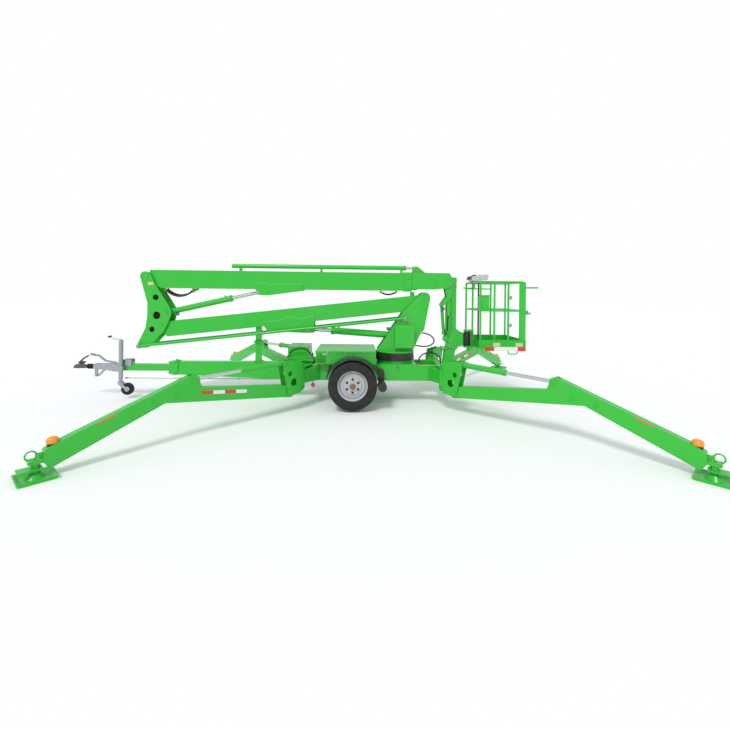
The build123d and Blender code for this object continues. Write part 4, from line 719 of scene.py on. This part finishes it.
# %% Basket fittings
lip = prism([[at(x, y, z) for x, z in ((1696, 2108), (1703, 2104), (1724, 2163), (1718, 2165))]
             for y in (-188, 108)])
piece("console_lip", *lip, black_plastic, "basket", bevel=0.001)
for k, y in enumerate((-110, 20)):
    centre = at(1790, y, 2172)
    boot = lathe(centre, (0, 0, 1), [(0, 20), (6, 21), (10, 15), (14, 17), (18, 11), (22, 7)], 24)
    piece("lever_boot_%d" % k, *boot, hose_rubber, "basket", smooth=True)
stop = lathe(
    at(1890, -40, 2180), (0, 0, 1), [(0, 15), (4, 15), (4.1, 11), (10, 14), (14, 14), (16, 10)], 32
)
piece("stop_button", *stop, red_lens, "basket", smooth=True)
box = slab((1776, 1936), (-432, -330), (1571, 1825))
piece("document_box", *box, green, "basket", bevel=0.006)
piece(
    "document_box_lid", *slab((1772, 1940), (-436, -326), (1822, 1834)), black_plastic, "basket",
    bevel=0.003
)
conduit = [at(1793, -300, z) for z in (1000, 1200, 1500, 1800, 1990)] + [at(1800, -240, 2070)]
piece("conduit", *merge([lathe(a, b - a, [(0, 11), ((b - a).length * 1000, 11)], 16)
                         for a, b in zip(conduit, conduit[1:])]), black_plastic, "basket", smooth=True)
hinges = []
for z in (1800, 1344):
    hinges.append(lathe(at(2274, -468, z), (0, 0, 1), [(-32, 8), (32, 8)], 20))
    hinges.append(slab((2262, 2300), (-466, -462), (z - 24, z + 24)))
hinges.append(slab((2556, 2606), (-470, -464), (1524, 1560)))
piece("gate_hinges", *merge(hinges), galvanised, "basket", bevel=0.001)
print("basket dressed")

# %% [markdown]
# Hydraulic cylinders carry check valves: small anodised blocks with a hex plug, bolted on the barrel.
# Bolts round the slewing ring finish the turret.

# %% Valves and ring bolts
for name, x, z, y, body in (("lower_ram", 296, 1236, -62, "lower_ram_barrel"),
                            ("upper_ram", -3350, 1450, -42, "upper_ram_barrel"),
                            ("jib_ram", 1246, 1590, -20, "jib_ram_barrel")):
    block = slab((x - 34, x + 34), (y - 26, y + 2), (z - 24, z + 24))
    piece("valve_" + name, *block, valve_paint, body, bevel=0.002)
    plugs = [lathe(at(x + dx, y - 26, z), (0, -1, 0), [(-1, 11), (8, 11), (10, 8)], 6) for dx in (-18, 14)]
    piece("valve_plugs_" + name, *merge(plugs), zinc_yellow, body)
bolts = []
for i in range(24):
    a = 2 * pi * i / 24
    spot = at(415 + 316 * cos(a), 316 * sin(a), 845)
    if abs(spot.y) > 0.14:
        bolts.append(lathe(spot, (0, 0, 1), [(-1, 10), (8, 10), (10, 8)], 6))
piece("ring_bolts", *merge(bolts), zinc_yellow, "turret")
print("ring bolts", len(bolts))

# %% [markdown]
# Plates are welded on with a visible bead. A bead is a thin rounded rope of metal under the paint. Here it is
# given a lighter green than the paint, a painted highlight along the cheek edge. Each bead is a low tube along
# the edge of a cheek plate.

# %% Weld beads
BEADS = {
    "lower_cheek": ("lower_boom", [(-1840, 1330), (-1600, 1360), (-1450, 1410), (-1330, 1418), (-1200, 1390),
                                   (-1060, 1436), (-986, 1440)]),
    "upper_cheek": ("upper_boom", [(-2003, 1990), (-1880, 2010), (-1760, 1960), (-1600, 1996), (-1450, 1975),
                                   (-1330, 1996), (-1182, 1990)]),
}
for name, (body, edge) in BEADS.items():
    ropes = []
    for side in (-1, 1):
        dots = [at(x, side * 87.5, z + 1.5) for x, z in edge]
        ropes += [
            lathe(a, b - a, [(-1, 3.2), ((b - a).length * 1000 + 1, 3.2)], 10) for a,
            b in zip(dots, dots[1:])
        ]
    piece("weld_" + name, *merge(ropes), bead, body, smooth=True)
print("weld beads", len(BEADS))

# %% [markdown]
# The floor is a pale, matt sheet large enough to meet the horizon. It and the sky read as white to the
# camera, and the floor keeps the soft shadow that grounds the machine.

# %% Floor and sky
sheet_mesh = bpy.data.meshes.new("floor")
sheet_mesh.from_pydata([(-60, -30, 0), (60, -30, 0), (60, 90, 0), (-60, 90, 0)], [], [(0, 1, 2, 3)])
floor = bpy.data.objects.new("floor", sheet_mesh)
bpy.context.collection.objects.link(floor)
matt, tree = blank("white_painted_floor")
grain = add(tree, "ShaderNodeTexNoise", {"Scale": per_mm(400), "Detail": 3.0})
tone = add(tree, "ShaderNodeMix", {"Factor": grain.outputs["Fac"], "A": srgb("#f4f4f3"), "B": srgb("#f8f8f7")},
           data_type="RGBA")
close(tree, add(tree, "ShaderNodeBsdfPrincipled", {
    "Base Color": tone.outputs["Result"], "Roughness": 0.9, "Specular IOR Level": 0.1}))
sheet_mesh.materials.append(matt)

world = bpy.data.worlds.new("soft_sky")
bpy.context.scene.world = world
world.use_nodes = True
sky = world.node_tree
sky.nodes.clear()
plain = add(sky, "ShaderNodeBackground", {"Color": (0.93, 0.95, 1.0, 1.0), "Strength": 0.8})
white = add(sky, "ShaderNodeBackground", {"Color": (1, 1, 1, 1), "Strength": 1.0})
seen = add(sky, "ShaderNodeLightPath")
mixed = add(sky, "ShaderNodeMixShader", {
    "Fac": seen.outputs["Is Camera Ray"], 1: plain.outputs["Background"], 2: white.outputs["Background"]})
add(sky, "ShaderNodeOutputWorld", {"Surface": mixed.outputs["Shader"]})
print("floor and sky ready")

# %% [markdown]
# One large soft sun stands high behind the camera's left shoulder. With the sky it brings a white sheet
# just to white, so painted colours come out about as they are written.

# %% Sun
light = bpy.data.lights.new("sun", "SUN")
light.energy = 1.5
light.angle = radians(14)
sun = bpy.data.objects.new("sun", light)
sun.matrix_world = Matrix.Rotation(radians(-24), 4, "Z") @ Matrix.Rotation(radians(42), 4, "X")
bpy.context.collection.objects.link(sun)
print("sun energy", light.energy)

# %% [markdown]
# The camera stands at head height, about 7 m in front of the centre line, with a wide lens. It looks level,
# and a vertical shift frames the machine without tilting the uprights.

# %% Camera
lens_data = bpy.data.cameras.new("camera")
lens_data.sensor_width = 36.0
lens_data.lens = 19.395
lens_data.shift_y = -0.0962
camera = bpy.data.objects.new("camera", lens_data)
camera.matrix_world = (Matrix.Translation((0.5133, -6.8897, 1.8195)) @ Matrix.Rotation(-0.0198, 4, "Z")
                       @ Matrix.Rotation(radians(90), 4, "X") @ Matrix.Rotation(0.0118, 4, "Z"))
bpy.context.collection.objects.link(camera)
bpy.context.scene.camera = camera
bpy.context.scene.view_settings.view_transform = "Standard"
print("camera at", tuple(round(v, 2) for v in camera.location))
